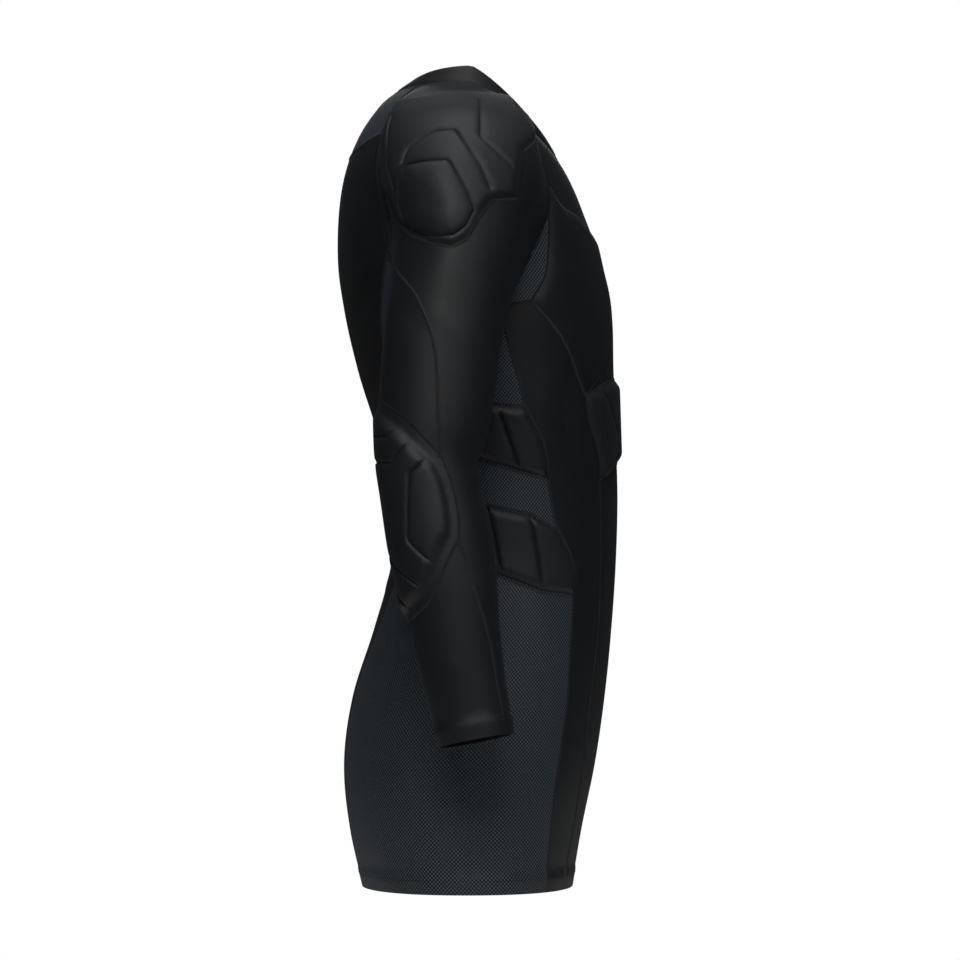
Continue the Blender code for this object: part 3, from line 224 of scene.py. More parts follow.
# Creases placed one by one. Columns: chart, start bearing, start height, end bearing, end height, half width,
# and height of the ridge, which is negative for a trough
CREASES = (
    ("torso", 62, -0.150, 45, -0.172, 0.0050, 0.0009),
    ("torso", 66, -0.170, 48, -0.196, 0.0055, -0.0008),
    ("torso", 72, -0.200, 55, -0.222, 0.0060, 0.0007),
    ("torso", 118, -0.150, 138, -0.176, 0.0060, 0.0010),
    ("torso", 119, -0.178, 140, -0.206, 0.0060, -0.0009),
    ("torso", 116, -0.215, 134, -0.236, 0.0070, 0.0008),
    ("torso", 54, -0.314, 44, -0.319, 0.0020, 0.0015),
    ("torso", 55, -0.323, 44, -0.328, 0.0020, 0.0016),
    ("torso", 54, -0.332, 44, -0.337, 0.0020, 0.0014),
    ("torso", 60, -0.262, 57, -0.326, 0.0100, -0.0018),
    ("torso", 68, -0.256, 66, -0.330, 0.0110, 0.0014),
    ("torso", 178, -0.385, 146, -0.372, 0.0070, 0.0012),
    ("torso", 176, -0.412, 142, -0.402, 0.0080, -0.0011),
    ("torso", 178, -0.438, 145, -0.432, 0.0070, 0.0010),
    ("torso", 112, -0.500, 138, -0.520, 0.0090, 0.0007),
    ("torso", 70, -0.652, 92, -0.668, 0.0100, 0.0008),
    ("torso", 30, -0.560, 46, -0.585, 0.0090, 0.0006),
    ("torso", 20, -0.420, 38, -0.405, 0.0080, 0.0006),
    ("sleeve", 108, 0.120, 93, 0.222, 0.0042, 0.0030),
    ("sleeve", 99, 0.132, 86, 0.232, 0.0040, -0.0034),
    ("sleeve", 91, 0.142, 78, 0.236, 0.0042, 0.0026),
    ("sleeve", 84, 0.180, 74, 0.246, 0.0036, -0.0018),
    ("sleeve", -104, 0.170, -84, 0.262, 0.0050, 0.0012),
    ("sleeve", -94, 0.190, -72, 0.268, 0.0055, -0.0010),
    ("sleeve", -118, 0.408, -48, 0.420, 0.0050, 0.0012),
    ("sleeve", -122, 0.424, -42, 0.434, 0.0050, -0.0014),
    ("sleeve", -124, 0.440, -50, 0.449, 0.0050, 0.0012),
    ("sleeve", -112, 0.458, -38, 0.470, 0.0060, -0.0008),
    ("sleeve", 20, 0.300, -40, 0.345, 0.0090, 0.0007),
    ("sleeve", 60, 0.290, 20, 0.330, 0.0090, -0.0006),
    ("sleeve", -20, 0.540, -70, 0.566, 0.0070, 0.0007),
    ("sleeve", 40, 0.605, -10, 0.622, 0.0070, 0.0006),
    ("sleeve", 170, 0.300, 200, 0.330, 0.0080, 0.0008),
    ("sleeve", 150, 0.620, 190, 0.632, 0.0070, 0.0006),
)
# How far a crease bows in the middle, as a share of its length, and where bearings of sleeve creases start
CREASE_BOW, SLEEVE_CREASE_FROM = 0.06, -150

# How a drawn point is found on a chart: a first grid from bearing to bearing and from a height, then steps
SEARCH_TORSO, SEARCH_SLEEVE = (4, 176, 0), (-100, 100, 0.002)
SEARCH_COLUMNS, SEARCH_ROWS = 44, 60
SEARCH_UNIT, SEARCH_NUDGE = np.array([40.0, 0.1]), np.array([0.05, 0.0002])
SEARCH_STEPS, SEARCH_DAMPING, SEARCH_REACH = 25, 2.0, 0.3


def unit(vectors):
    """Vectors scaled to length 1."""
    return vectors / np.linalg.norm(vectors, axis=1)[:, None]


def lengths_along(points):
    """How far along a line each of its points stands."""
    return np.concatenate([[0.0], np.cumsum(np.linalg.norm(np.diff(points, axis=0), axis=1))])


def read_at(at, knots, table):
    """Rows read from a table between its knots, in straight steps."""
    return np.stack([np.interp(at, knots, column) for column in table.T], 1)


def wrap(bearing):
    """A bearing between -180 and 180."""
    return (bearing + 180) % 360 - 180


def across(run):
    """Flat unit vectors square to a run of vectors."""
    return np.stack([-run[:, 1], run[:, 0]], 1) / np.linalg.norm(run, axis=1)[:, None]


def turning(loop):
    """1 for a flat loop that runs anticlockwise, else -1."""
    after = np.roll(loop, -1, axis=0)
    return np.sign((loop[:, 0] * after[:, 1] - after[:, 0] * loop[:, 1]).sum())


def through(knots, values, at):
    """Smooth curve through values at rising knots. Values may hold a column of points for every place."""
    knots, values, at = (np.asarray(item, float) for item in (knots, values, at))
    slope = np.gradient(values, knots, axis=0)
    at = np.clip(at, knots[0], knots[-1])
    cell = np.clip(np.searchsorted(knots, at) - 1, 0, len(knots) - 2)
    span = knots[cell + 1] - knots[cell]
    part = (at - knots[cell]) / span
    column = (np.arange(len(at)),) if values.ndim == 3 else ()
    low, high = (cell, *column), (cell + 1, *column)
    grow = (slice(None),) + (None,) * (values[low].ndim - 1)
    part, span = part[grow], span[grow]
    return ((1 + 2 * part) * (1 - part) ** 2 * values[low] + part * (1 - part) ** 2 * span * slope[low]
            + part ** 2 * (3 - 2 * part) * values[high] + part ** 2 * (part - 1) * span * slope[high])


def torso(bearing, v):
    """Points of the torso's outer surface."""
    bearing, v = np.broadcast_arrays(np.asarray(bearing, float), np.asarray(v, float))
    rows = np.array(TORSO_SECTIONS[::-1])
    read = through(rows[:, 0], rows[:, 1:], v).T
    z_front, z_side, z_back, y_front, y_side, y_back, half_width, power = read
    turn = np.radians(bearing)
    side, ahead = np.sin(turn), np.cos(turn)
    depth = np.where(ahead > 0, y_side - y_front, y_back - y_side)
    reach = ((np.abs(side) / half_width) ** power + (np.abs(ahead) / depth) ** power) ** (-1 / power)
    drop = np.abs(ahead) ** np.where(ahead > 0, DROP_FRONT, DROP_BACK)
    z_end = np.where(ahead > 0, z_front, z_back)
    return np.stack([-reach * side, y_side - reach * ahead, z_side + (z_end - z_side) * drop], -1)


RAGLAN_ROWS = np.array(RAGLAN)
CAP_ROWS = len(RAGLAN_ROWS)


def raglan_bearings(v):
    """Bearings of the front and back raglan seams at torso heights."""
    down = -np.asarray(v, float)
    return tuple(through(-RAGLAN_ROWS[:, 0], RAGLAN_ROWS[:, column], down) for column in (1, 2))


def underarm(part):
    """Torso chart points of the underarm seam, from the back raglan seam at 0 to the front one at 1."""
    front, back = RAGLAN_ROWS[-1, 1], RAGLAN_ROWS[-1, 2]
    dip = UNDERARM_DIP * np.sin(np.pi * np.clip(part, 0, 1)) ** UNDERARM_POWER
    return back + (front - back) * part, RAGLAN_ROWS[-1, 0] - dip


def arm_frame():
    """Centres of the arm rings with their outward and backward directions and half sizes."""
    rings = np.array(ARM_RINGS)
    centre = rings[:, :3]
    along = unit(np.gradient(centre, axis=0))
    away = np.array([-1.0, 0.0, 0.0])
    out = unit(away - along * (along @ away)[:, None])
    back = np.cross(along, out)
    back *= np.sign(back[:, 1])[:, None]
    return centre, out, back, rings[:, 3], rings[:, 4]


CENTRE, OUT, BACK, HALF_DEPTH, HALF_WIDTH = arm_frame()
OUTER_LINE = np.concatenate([RAGLAN_ROWS[:, 3:6], CENTRE + OUT * HALF_WIDTH[:, None]])
LENGTHS = lengths_along(OUTER_LINE)
CAP_LENGTH = LENGTHS[CAP_ROWS - 1]
SLEEVE_END = LENGTHS[-1]
FRONT_SEAM_POINTS = torso(RAGLAN_ROWS[:, 1], RAGLAN_ROWS[:, 0])
BACK_SEAM_POINTS = torso(RAGLAN_ROWS[:, 2], RAGLAN_ROWS[:, 0])


def ring_points(turn):
    """Arm ring points at angles round the arm, a row for each ring."""
    return np.array([centre + out * width * np.cos(turn)[:, None] + back * depth * np.sin(turn)[:, None]
                     for centre, out, back, depth, width in zip(CENTRE, OUT, BACK, HALF_DEPTH, HALF_WIDTH)])


def sleeve_rows(bearing):
    """Points of every row of the sleeve at the bearings, from the neckline to the cuff."""
    wrapped = wrap(bearing)
    on_cap = np.abs(wrapped) <= SEAM_BEARING
    edge = np.clip(wrapped, -SEAM_BEARING, SEAM_BEARING)
    stations = (-SEAM_BEARING, -CORNER_BEARING, 0.0, CORNER_BEARING, SEAM_BEARING)
    front, back = RAGLAN_ROWS[0, 1:3]
    neck_bearing = front + (back - front) * (edge / SEAM_BEARING + 1) / 2
    rows = [torso(neck_bearing, np.zeros_like(edge))]
    for front, back, top in zip(FRONT_SEAM_POINTS[1:], BACK_SEAM_POINTS[1:], OUTER_LINE[1:]):
        corners = [seam + (top - seam) * np.array([SHOULDER_CORNER, 1 - SHOULDER_CORNER, SHOULDER_CORNER])
                   for seam in (front, back)]
        rows.append(through(stations, np.array([front, corners[0], top, corners[1], back]), edge))
    part = np.clip((bearing % 360 - SEAM_BEARING) / (360 - 2 * SEAM_BEARING), 0, 1)
    under = torso(*underarm(part))
    under[:, 0] -= UNDERARM_GAP * np.sin(np.pi * part)
    last = CAP_ROWS - 1
    rise = ((BACK_SEAM_POINTS[last - 1] - BACK_SEAM_POINTS[last]) * (1 - part)[:, None]
            + (FRONT_SEAM_POINTS[last - 1] - FRONT_SEAM_POINTS[last]) * part[:, None])
    rows = [np.where(on_cap[:, None], row, under + (rise if number < last else 0))
            for number, row in enumerate(rows)]
    return np.concatenate([np.array(rows), ring_points(np.radians(wrapped))])


def sleeve(bearing, length):
    """Points of the sleeve's outer surface. Bearing 0 is outermost, 90 behind and 180 faces the torso."""
    bearing, length = np.broadcast_arrays(np.asarray(bearing, float), np.asarray(length, float))
    shape = bearing.shape
    bearing, length = bearing.ravel(), length.ravel()
    wrapped = wrap(bearing)
    on_cap = length < CAP_LENGTH - 1e-9
    bearing = np.where(on_cap, np.clip(wrapped, -SEAM_BEARING, SEAM_BEARING), bearing)
    points = through(LENGTHS, sleeve_rows(bearing), length)
    # The cap's edges follow the raglan seams on the torso exactly.
    cap_length = np.clip(length, 0, CAP_LENGTH)
    v = through(LENGTHS[:CAP_ROWS], RAGLAN_ROWS[:, 0], cap_length)
    wrapped = wrap(bearing)
    for seam, seam_bearing, side in zip((FRONT_SEAM_POINTS, BACK_SEAM_POINTS), raglan_bearings(v), (-1, 1)):
        ring_edge = ring_points(np.radians([side * SEAM_BEARING]))[:, 0]
        loose = through(LENGTHS, np.concatenate([seam, ring_edge]), cap_length)
        weight = np.clip(1 - np.abs(wrapped - side * SEAM_BEARING) / SEAM_BLEND, 0, 1) ** 2 * on_cap
        points = points + (torso(seam_bearing, v) - loose) * weight[:, None]
    return points.reshape(shape + (3,))


# A chart's function, the metres that a degree is worth in its flat net, and its outward turn.
TORSO = (torso, 0.0025, -1)
SLEEVE = (sleeve, 0.00095, 1)


def chart_normals(chart, places):
    """Outward unit normals at chart places."""
    surface, _, facing = chart
    bearing, height = places.T
    turn, step = 0.2, 0.0004
    low = height - step
    if surface is sleeve:
        on_arm = np.abs(wrap(bearing)) > SEAM_BEARING + 1e-6
        low = np.maximum(low, np.where(on_arm, CAP_LENGTH, 0))
    round_it = surface(bearing + turn, height) - surface(bearing - turn, height)
    along = surface(bearing, height + step) - surface(bearing, low)
    return unit(np.cross(round_it, along) * facing)


def crease(chart, places):
    """How far the cloth moves out at chart places: soft ridges and troughs that fade out at both ends."""
    surface, scale, _ = chart
    bearing = places[:, 0]
    if surface is torso:
        bearing = np.where(bearing > 180, 360 - bearing, np.abs(bearing))
    else:
        bearing = np.where(bearing < SLEEVE_CREASE_FROM, bearing + 360, bearing)
    flat = np.stack([bearing * scale, places[:, 1]], 1)
    moved = np.zeros(len(places))
    for owner, b0, h0, b1, h1, half_width, height in CREASES:
        if owner != surface.__name__:
            continue
        start, run = np.array([b0 * scale, h0]), np.array([(b1 - b0) * scale, h1 - h0])
        size = np.linalg.norm(run)
        along = (flat - start) @ run / size ** 2
        beside = (flat - start) @ np.array([-run[1], run[0]]) / size
        bow = beside - CREASE_BOW * size * np.sin(np.pi * np.clip(along, 0, 1))
        fade = np.clip(along * (1 - along) * 4, 0, 1)
        moved += height * fade * np.exp(-(bow / half_width) ** 2)
    return moved


def drawn(points):
    """Where points stand on the side drawing."""
    near = EYE_DISTANCE / (EYE_DISTANCE + points[..., :1])
    flat = DRAWING_ZERO - points[..., 1:] / DRAWING_UNIT
    return DRAWING_CENTRE + (flat - DRAWING_CENTRE) * near


def placed(chart, table):
    """Chart places of points read on the side drawing, found by stepping towards each."""
    surface = chart[0]
    ends = SEARCH_TORSO if surface is torso else SEARCH_SLEEVE
    bearings = np.linspace(*ends[:2], SEARCH_COLUMNS)
    heights = np.linspace(ends[2], HEM if surface is torso else SLEEVE_END, SEARCH_ROWS)
    grid = np.array(np.meshgrid(bearings, heights)).reshape(2, -1).T
    seen = drawn(surface(*grid.T))
    nudges = np.array([[0, 0], [SEARCH_NUDGE[0], 0], [0, SEARCH_NUDGE[1]]])
    places = []
    for target in np.array(table, float):
        place = grid[np.argmin(np.linalg.norm(seen - target, axis=1))].copy()
        for _ in range(SEARCH_STEPS):
            at = drawn(surface(*(place + nudges).T))
            slope = np.stack([(near - at[0]) / nudge for near, nudge in zip(at[1:], SEARCH_NUDGE)], 1)
            slope = slope * SEARCH_UNIT
            step = np.linalg.solve(slope.T @ slope + SEARCH_DAMPING * np.eye(2), slope.T @ (target - at[0]))
            place = place + np.clip(step, -SEARCH_REACH, SEARCH_REACH) * SEARCH_UNIT
            if surface is sleeve:
                place[0] = np.clip(place[0], SEAM_CLEAR - SEAM_BEARING, SEAM_BEARING - SEAM_CLEAR)
                place[1] = max(place[1], NECK_CLEAR)
        places.append(place)
    return np.array(places)


def spaced(chart, places, step=SEAM_STEP, smooth=True):
    """The line through chart places, divided into even steps of its true length."""
    surface, places = chart[0], np.asarray(places, float)
    number = np.arange(len(places))
    fine = np.linspace(0, len(places) - 1, FINE_STEPS * (len(places) - 1) + 1)
    if smooth and len(places) > 2:
        knots = lengths_along(surface(*places.T))
        line = through(knots, places, np.interp(fine, number, knots))
    else:
        line = read_at(fine, number, places)
    length = lengths_along(surface(*line.T))
    return read_at(np.linspace(0, length[-1], max(1, round(length[-1] / step)) + 1), length, line)


def join(*seams):
    """One outline from seams that follow each other."""
    line = np.concatenate([seams[0]] + [seam[1:] for seam in seams[1:]])
    return line[:-1] if np.allclose(line[0], line[-1], atol=1e-6) else line


def level(v, first, last, count):
    """A line of constant torso height or sleeve length."""
    return np.stack([np.linspace(first, last, count + 1), np.full(count + 1, v)], 1)


def raglan_seams():
    """The raglan seams as torso places and sleeve places, split where other seams meet them."""
    dense = np.linspace(0, CAP_LENGTH, RAGLAN_SAMPLES)
    heights = through(LENGTHS[:CAP_ROWS], RAGLAN_ROWS[:, 0], dense)
    seams = {}
    for side, column, sign, stops in (("front", 0, -1, (0, CHEST_TOP_V, GUSSET_TOP_V, RAGLAN_ROWS[-1, 0])),
                                      ("back", 1, 1, (0, YOKE_V, RAGLAN_ROWS[-1, 0]))):
        line = torso(raglan_bearings(heights)[column], heights)
        for number, (upper, lower) in enumerate(zip(stops, stops[1:])):
            lengths = np.interp([-upper, -lower], -heights, dense)
            between = (dense >= lengths[0]) & (dense <= lengths[1])
            run = np.linalg.norm(np.diff(line[between], axis=0), axis=1).sum()
            at = np.linspace(*lengths, max(1, round(run / SEAM_STEP)) + 1)
            v = through(LENGTHS[:CAP_ROWS], RAGLAN_ROWS[:, 0], at)
            seams[f"torso_{side}_{number}"] = np.stack([raglan_bearings(v)[column], v], 1)
            seams[f"sleeve_{side}_{number}"] = np.stack([np.full(len(at), sign * SEAM_BEARING), at], 1)
    return seams


def seam_line(chart, table, first=None, last=None, end_height=None, smooth=True):
    """A seam from points on the side drawing, with a corner before or after them where one is given."""
    places = placed(chart, table)
    if end_height is not None:
        places[-1, 1] = end_height
    before, after = ([] if corner is None else [corner] for corner in (first, last))
    return spaced(chart, np.array(before + list(places) + after), smooth=smooth)


# A seam, the end of it that is moved exactly to a corner, and the seam and end that the corner is taken from
TORSO_CORNERS = (
    ("chest_top", -1, "centre_edge", 0), ("chest_seam", 0, "centre_edge", -1),
    ("pad_side", 0, "centre_edge", -1), ("belly_top", 0, "centre_edge", -1),
    ("gusset_front", 0, "chest_seam", -1),
    ("gusset_lower_front", 0, "chest_seam", -1), ("gusset_lower_back", 0, "gusset_lower_front", -1),
    ("mesh_top", 0, "gusset_lower_front", -1), ("upper_rib_front", 0, "mesh_top", -1),
    ("mesh_middle", 0, "upper_rib_front", -1), ("lower_rib_front", 0, "mesh_middle", -1),
    ("mesh_low", 0, "lower_rib_front", -1), ("upper_rib_back", 0, "mesh_top", -1),
    ("upper_rib_back", -1, "upper_rib_front", -1), ("lower_rib_back", 0, "mesh_middle", -1),
    ("lower_rib_back", -1, "lower_rib_front", -1), ("front_seam", 0, "pad_side", -1),
    ("belly_lower", 0, "pad_side", -1),
)
SLEEVE_CORNERS = (
    ("elbow_front", 0, "sleeve_seam_top", -1), ("elbow_above", -1, "sleeve_seam_top", -1),
    ("elbow_below", 0, "elbow_front", -1), ("sleeve_seam_low", 0, "elbow_front", -1),
)
# How far the yoke's lower seam hangs below a straight line, half way along
YOKE_SAG = 0.003


def torso_seams(seams):
    """Adds the torso's seams, between the raglan seams and the middle lines."""
    back_end, yoke_corner = seams["torso_back_1"][-1], seams["torso_back_0"][-1]
    more = {"chest_top": {"first": seams["torso_front_0"][-1]},
            "gusset_front": {"last": seams["torso_front_1"][-1]}, "gusset_lower_back": {"last": back_end},
            "mesh_low": {"end_height": HEM}, "front_seam": {"end_height": HEM},
            "upper_rib_back": {"smooth": False}, "lower_rib_back": {"smooth": False},
            "belly_top": {"last": np.array([0.0, BELLY_TOP_MIDDLE_V])},
            "belly_lower": {"last": np.array([0.0, BELLY_LOWER_MIDDLE_V])}}
    for name, table in TORSO_LINES.items():
        seams[name] = seam_line(TORSO, table, **more.get(name, {}))
    seams["back_seam"] = spaced(TORSO, np.array([tuple(back_end)] + list(BACK_SEAM)))
    middle = (yoke_corner + np.array([180.0, YOKE_MIDDLE_V])) / 2 - np.array([0, YOKE_SAG])
    seams["yoke_lower"] = spaced(TORSO, np.array([yoke_corner, middle, [180.0, YOKE_MIDDLE_V]]))
    for name, end, other, place in TORSO_CORNERS:
        seams[name][end] = seams[other][place]

    front, back = RAGLAN_ROWS[0, 1:3]
    for name, first, last in (("front", 0, front), ("side", front, back), ("back", back, 180)):
        seams["neck_" + name] = level(0.0, first, last, NECK_STEPS[name])
    stops = [0] + [seams[name][-1, 0] for name in ("front_seam", "mesh_low", "back_seam")] + [180]
    for name, first, last in zip(("hem_front", "hem_side_front", "hem_mesh", "hem_back"), stops, stops[1:]):
        seams[name] = level(HEM, first, last, max(1, round(abs(last - first) * TORSO[1] / SEAM_STEP)))


def sleeve_seams(seams):
    """Adds the sleeve's seams, and the underarm seam on both charts."""
    seams["sleeve_neck"] = level(0.0, -SEAM_BEARING, SEAM_BEARING, NECK_STEPS["side"])
    for name, first, last in (("back", SEAM_BEARING, INNER_SEAM), ("front", INNER_SEAM, 360 - SEAM_BEARING)):
        bearings = np.linspace(first, last, UNDERARM_STEPS[name] + 1)
        part = (bearings - SEAM_BEARING) / (360 - 2 * SEAM_BEARING)
        seams["torso_underarm_" + name] = np.stack(underarm(part), 1)
        seams["sleeve_underarm_" + name] = np.stack([bearings, np.full(len(bearings), CAP_LENGTH)], 1)
    more = {"sleeve_seam_top": {"first": seams["sleeve_back_1"][-1]},
            "elbow_above": {"first": np.array([ELBOW_MIDDLE, ELBOW_TOP_LENGTH])},
            "elbow_below": {"last": np.array([ELBOW_MIDDLE, ELBOW_END_LENGTH])}}
    for name, table in SLEEVE_LINES.items():
        seams[name] = seam_line(SLEEVE, table, **more.get(name, {}))
    seams["sleeve_seam_low"][-1, 1] = SLEEVE_END
    for name, end, other, place in SLEEVE_CORNERS:
        seams[name][end] = seams[other][place]
    round_elbow = join(seams["elbow_above"], seams["elbow_front"], seams["elbow_below"])
    seams["elbow_inner"] = round_elbow * [-1, 1] + [2 * ELBOW_MIDDLE, 0]
    seam_foot = seams["sleeve_seam_low"][-1, 0]
    seams["cuff_front"] = level(SLEEVE_END, seam_foot, INNER_SEAM - 360, CUFF_STEPS["front"])
    seams["cuff_back"] = level(SLEEVE_END, seam_foot, INNER_SEAM, CUFF_STEPS["back"])
    seams["inner_seam"] = level(0.0, CAP_LENGTH, SLEEVE_END, INNER_SEAM_STEPS)[:, ::-1] + [INNER_SEAM, 0]


def seam_network():
    """Every seam as chart places, shared by the pieces on both sides of it."""
    seams = raglan_seams()
    torso_seams(seams)
    sleeve_seams(seams)
    return seams


def inside(points, loop):
    """Which flat points lie inside a closed loop."""
    x, y = points.T
    within = np.zeros(len(points), bool)
    for (ax, ay), (bx, by) in zip(loop, np.roll(loop, -1, axis=0)):
        crosses = (ay > y) != (by > y)
        with np.errstate(divide="ignore", invalid="ignore"):
            within ^= crosses & (x < (bx - ax) * (y - ay) / (by - ay) + ax)
    return within


def distance(points, line):
    """Distance of flat points from an open line."""
    best = np.full(len(points), np.inf)
    for a, b in zip(line, line[1:]):
        run = b - a
        part = np.clip((points - a) @ run / max(run @ run, 1e-18), 0, 1)
        best = np.minimum(best, np.linalg.norm(points - a - part[:, None] * run, axis=1))
    return best


def closed(loop):
    """A loop as a line that ends where it starts."""
    return np.concatenate([loop, loop[:1]])


def pad_height(flat, outline, shape, grooves):
    """How far a pad stands out at flat points: a rounded rise inside its border, less its grooves."""
    border, rise, height, groove_depth, groove_width = shape
    part = np.clip((distance(flat, closed(outline)) - border) / rise, 0, 1)
    raised = height * np.sin(np.pi / 2 * part)
    for groove in grooves:
        near = distance(flat, groove) / groove_width
        raised -= groove_depth * np.exp(-near ** 2) * part
    return raised


def inset(loop, by):
    """A loop drawn in by a distance, or out by a negative one, less the points that would cross it."""
    run = np.roll(loop, -1, axis=0) - np.roll(loop, 1, axis=0)
    ring = loop + across(run) * by * turning(loop)
    return ring[(inside(ring, loop) == (by > 0)) & (distance(ring, closed(loop)) > INSET_KEEP * abs(by))]


def thinned(points, candidates, apart):
    """The candidates that stand more than a distance apart from the points and from each other, in turn."""
    cells, kept = {}, []

    def store(point):
        cells.setdefault((int(point[0] // apart), int(point[1] // apart)), []).append(point)

    for point in points:
        store(point)
    for point in candidates:
        column, row = int(point[0] // apart), int(point[1] // apart)
        near = (other for i in (-1, 0, 1) for j in (-1, 0, 1)
                for other in cells.get((column + i, row + j), ()))
        if all((other[0] - point[0]) ** 2 + (other[1] - point[1]) ** 2 > apart ** 2 for other in near):
            kept.append(point)
            store(point)
    return kept


def net(outline, holes, marks, step):
    """Flat triangles that fill an outline round its holes, through marked points."""
    points, edges = [], []
    for loop in (outline, *holes):
        first = len(points)
        points.extend(loop)
        edges.extend((first + i, first + (i + 1) % len(loop)) for i in range(len(loop)))

    def clear(places, margin):
        """Which places lie in the net, farther than a margin from its edges."""
        kept = inside(places, outline) & (distance(places, closed(outline)) > margin)
        for hole in holes:
            kept &= ~inside(places, hole) & (distance(places, closed(hole)) > margin)
        return kept

    for line in marks:
        points += thinned(points, line[clear(line, MARK_FROM_EDGE)], MARK_APART)
    low, high = outline.min(0), outline.max(0)
    rows = np.arange(low[1] + step / 2, high[1], step * ROW_SHARE)
    lattice = np.array([(x + (number % 2) * step / 2, y) for number, y in enumerate(rows)
                        for x in np.arange(low[0], high[0], step)]).reshape(-1, 2)
    points += thinned(points, lattice[clear(lattice, EDGE_SHARE * step)], POINT_SHARE * step)
    made, _, faces, origin, _, _ = delaunay_2d_cdt([Vector(p) for p in points], edges, [], 0, 1e-7)
    made = np.array([points[ids[0]] if ids else tuple(p) for p, ids in zip(made, origin)])
    middle = np.array([made[list(face)].mean(0) for face in faces])
    keep = inside(middle, outline)
    for hole in holes:
        keep &= ~inside(middle, hole)
    turned = []
    for a, b, c in (face for face, kept in zip(faces, keep) if kept):
        area = np.cross(made[b] - made[a], made[c] - made[a])
        turned.append([a, b, c] if area > 0 else [a, c, b])
    return made, turned, [min(ids) if ids else -1 for ids in origin]


def piece(name, chart, outline, material, holes=(), relief=None, marks=(), step=NET_STEP, lean_edges=None):
    """Points and faces of one cut piece, with a wall and edges drawn in for the seam gap."""
    surface, scale, facing = chart
    stretch = np.array([scale, 1.0])
    loops = [np.asarray(loop) * stretch for loop in (outline, *holes)]
    made, faces, origin = net(loops[0], loops[1:], [np.asarray(line) * stretch for line in marks], step)
    places = made / stretch
    points = surface(*places.T)
    normals = chart_normals(chart, places)
    index = {old: new for new, old in enumerate(origin) if old >= 0}
    first = 0
    for number, loop in enumerate(loops):
        ring = [index[first + i] for i in range(len(loop))]
        first += len(loop)
        turn = turning(made[ring]) * facing * (1 if number == 0 else -1)
        edge = np.roll(points[ring], -1, axis=0) - points[ring]
        inward = unit(np.cross(normals[ring], edge) * turn)
        both = inward + np.roll(inward, 1, axis=0)
        room = np.maximum((both * both).sum(1) / 2, SHARPEST_CORNER)
        points[ring] += both / room[:, None] * SEAM_GAP / 2
    if lean_edges is not None:
        normals = lean_edges(places, normals)
    points = points + normals * crease(chart, places)[:, None]
    raised = relief(made) if relief is not None else 0.0
    outer = points + normals * np.asarray(raised).reshape(-1, 1)
    count = len(points)
    if facing < 0:
        faces = [face[::-1] for face in faces]
    edges = {(a, b): True for face in faces for a, b in zip(face, face[1:] + face[:1])}
    body = [tuple(face) for face in faces] + [tuple(i + count for i in face[::-1]) for face in faces]
    body += [(b, a, a + count, b + count) for a, b in edges if (b, a) not in edges]
    both_layers = np.concatenate([outer, points - normals * WALL])
    return name, both_layers, body, material, np.concatenate([made, made])


# Two charts share normals whose sum is longer than this, at places nearer than this in the units given
LEAST_SHARED, SAME_PLACE, PLACE_UNITS = 1.2, 1e-4, np.array([0.01, 1.0])


def seam_normals(chart, pairs):
    """Both pieces at a raglan seam lean their edges the same way, half way between their own directions."""
    table = []
    for own, other_chart, other in pairs:
        own_normal = chart_normals(chart, own)
        shared = own_normal + chart_normals(other_chart, other)
        for place, normal, lean, length in zip(own, own_normal, shared, np.linalg.norm(shared, axis=1)):
            table.append((place, lean / length if length > LEAST_SHARED else normal))

    def change(places, normals):
        normals = normals.copy()
        for place, normal in table:
            apart = np.abs(places - place) @ PLACE_UNITS
            near = np.argmin(apart)
            if apart[near] < SAME_PLACE:
                normals[near] = normal
        return normals

    return change


def fold(start, end, raise_by):
    """Relief of a turned-in edge between two heights of the flat net."""
    low, high = min(start, end), max(start, end)
    return lambda flat: np.where((flat[:, 1] >= low - 1e-6) & (flat[:, 1] <= high + 1e-6), raise_by, 0.0)


# Rows of the neck band: the share of its height, and how far the outside stands out
NECK_BAND_SHARES = (0.01, 0.1, 0.3, 0.5, 0.7, 0.9, 1.0)
NECK_BAND_PUFF = (0.0, 0.0006, 0.0009, 0.0009, 0.0008, 0.0006, 0.0)


def neck_band(seams):
    """The neck band is one ring with a wall, sewn on along the whole neckline."""
    half = np.concatenate([seams["neck_front"][:, 0], seams["neck_side"][1:, 0], seams["neck_back"][1:, 0]])
    bearings = np.concatenate([half, 360 - half[-2:0:-1]])
    heights = np.array(NECK_BAND_SHARES) * NECK_BAND
    places = np.array([(b, v) for v in heights for b in bearings])
    points, normals = torso(*places.T), chart_normals(TORSO, places)
    rows, columns, count = len(heights), len(bearings), len(places)
    puff = np.repeat(NECK_BAND_PUFF, columns)
    outer, inner = points + normals * puff[:, None], points - normals * WALL
    body = []
    for row in range(rows - 1):
        for column in range(columns):
            a, b = row * columns + column, row * columns + (column + 1) % columns
            body.append((a, a + columns, b + columns, b))
            body.append((a + count, b + count, b + columns + count, a + columns + count))
    for column in range(columns):
        a, b = column, (column + 1) % columns
        body.append((a, b, b + count, a + count))
        a, b = a + (rows - 1) * columns, b + (rows - 1) * columns
        body.append((b, a, a + count, b + count))
    flat = places * [TORSO[1], 1]
    return "neck_band", np.concatenate([outer, inner]), body, "lycra", np.concatenate([flat, flat])


def mirrored(line, about):
    """The same line on the other side of the front or back middle."""
    return line[::-1] * [-1, 1] + [2 * about, 0]


def both_halves(about, *seams):
    """A closed outline from the seams of the right half, which start and end on the middle line."""
    half = join(*seams)
    return np.concatenate([half, mirrored(half, about)[1:-1]])


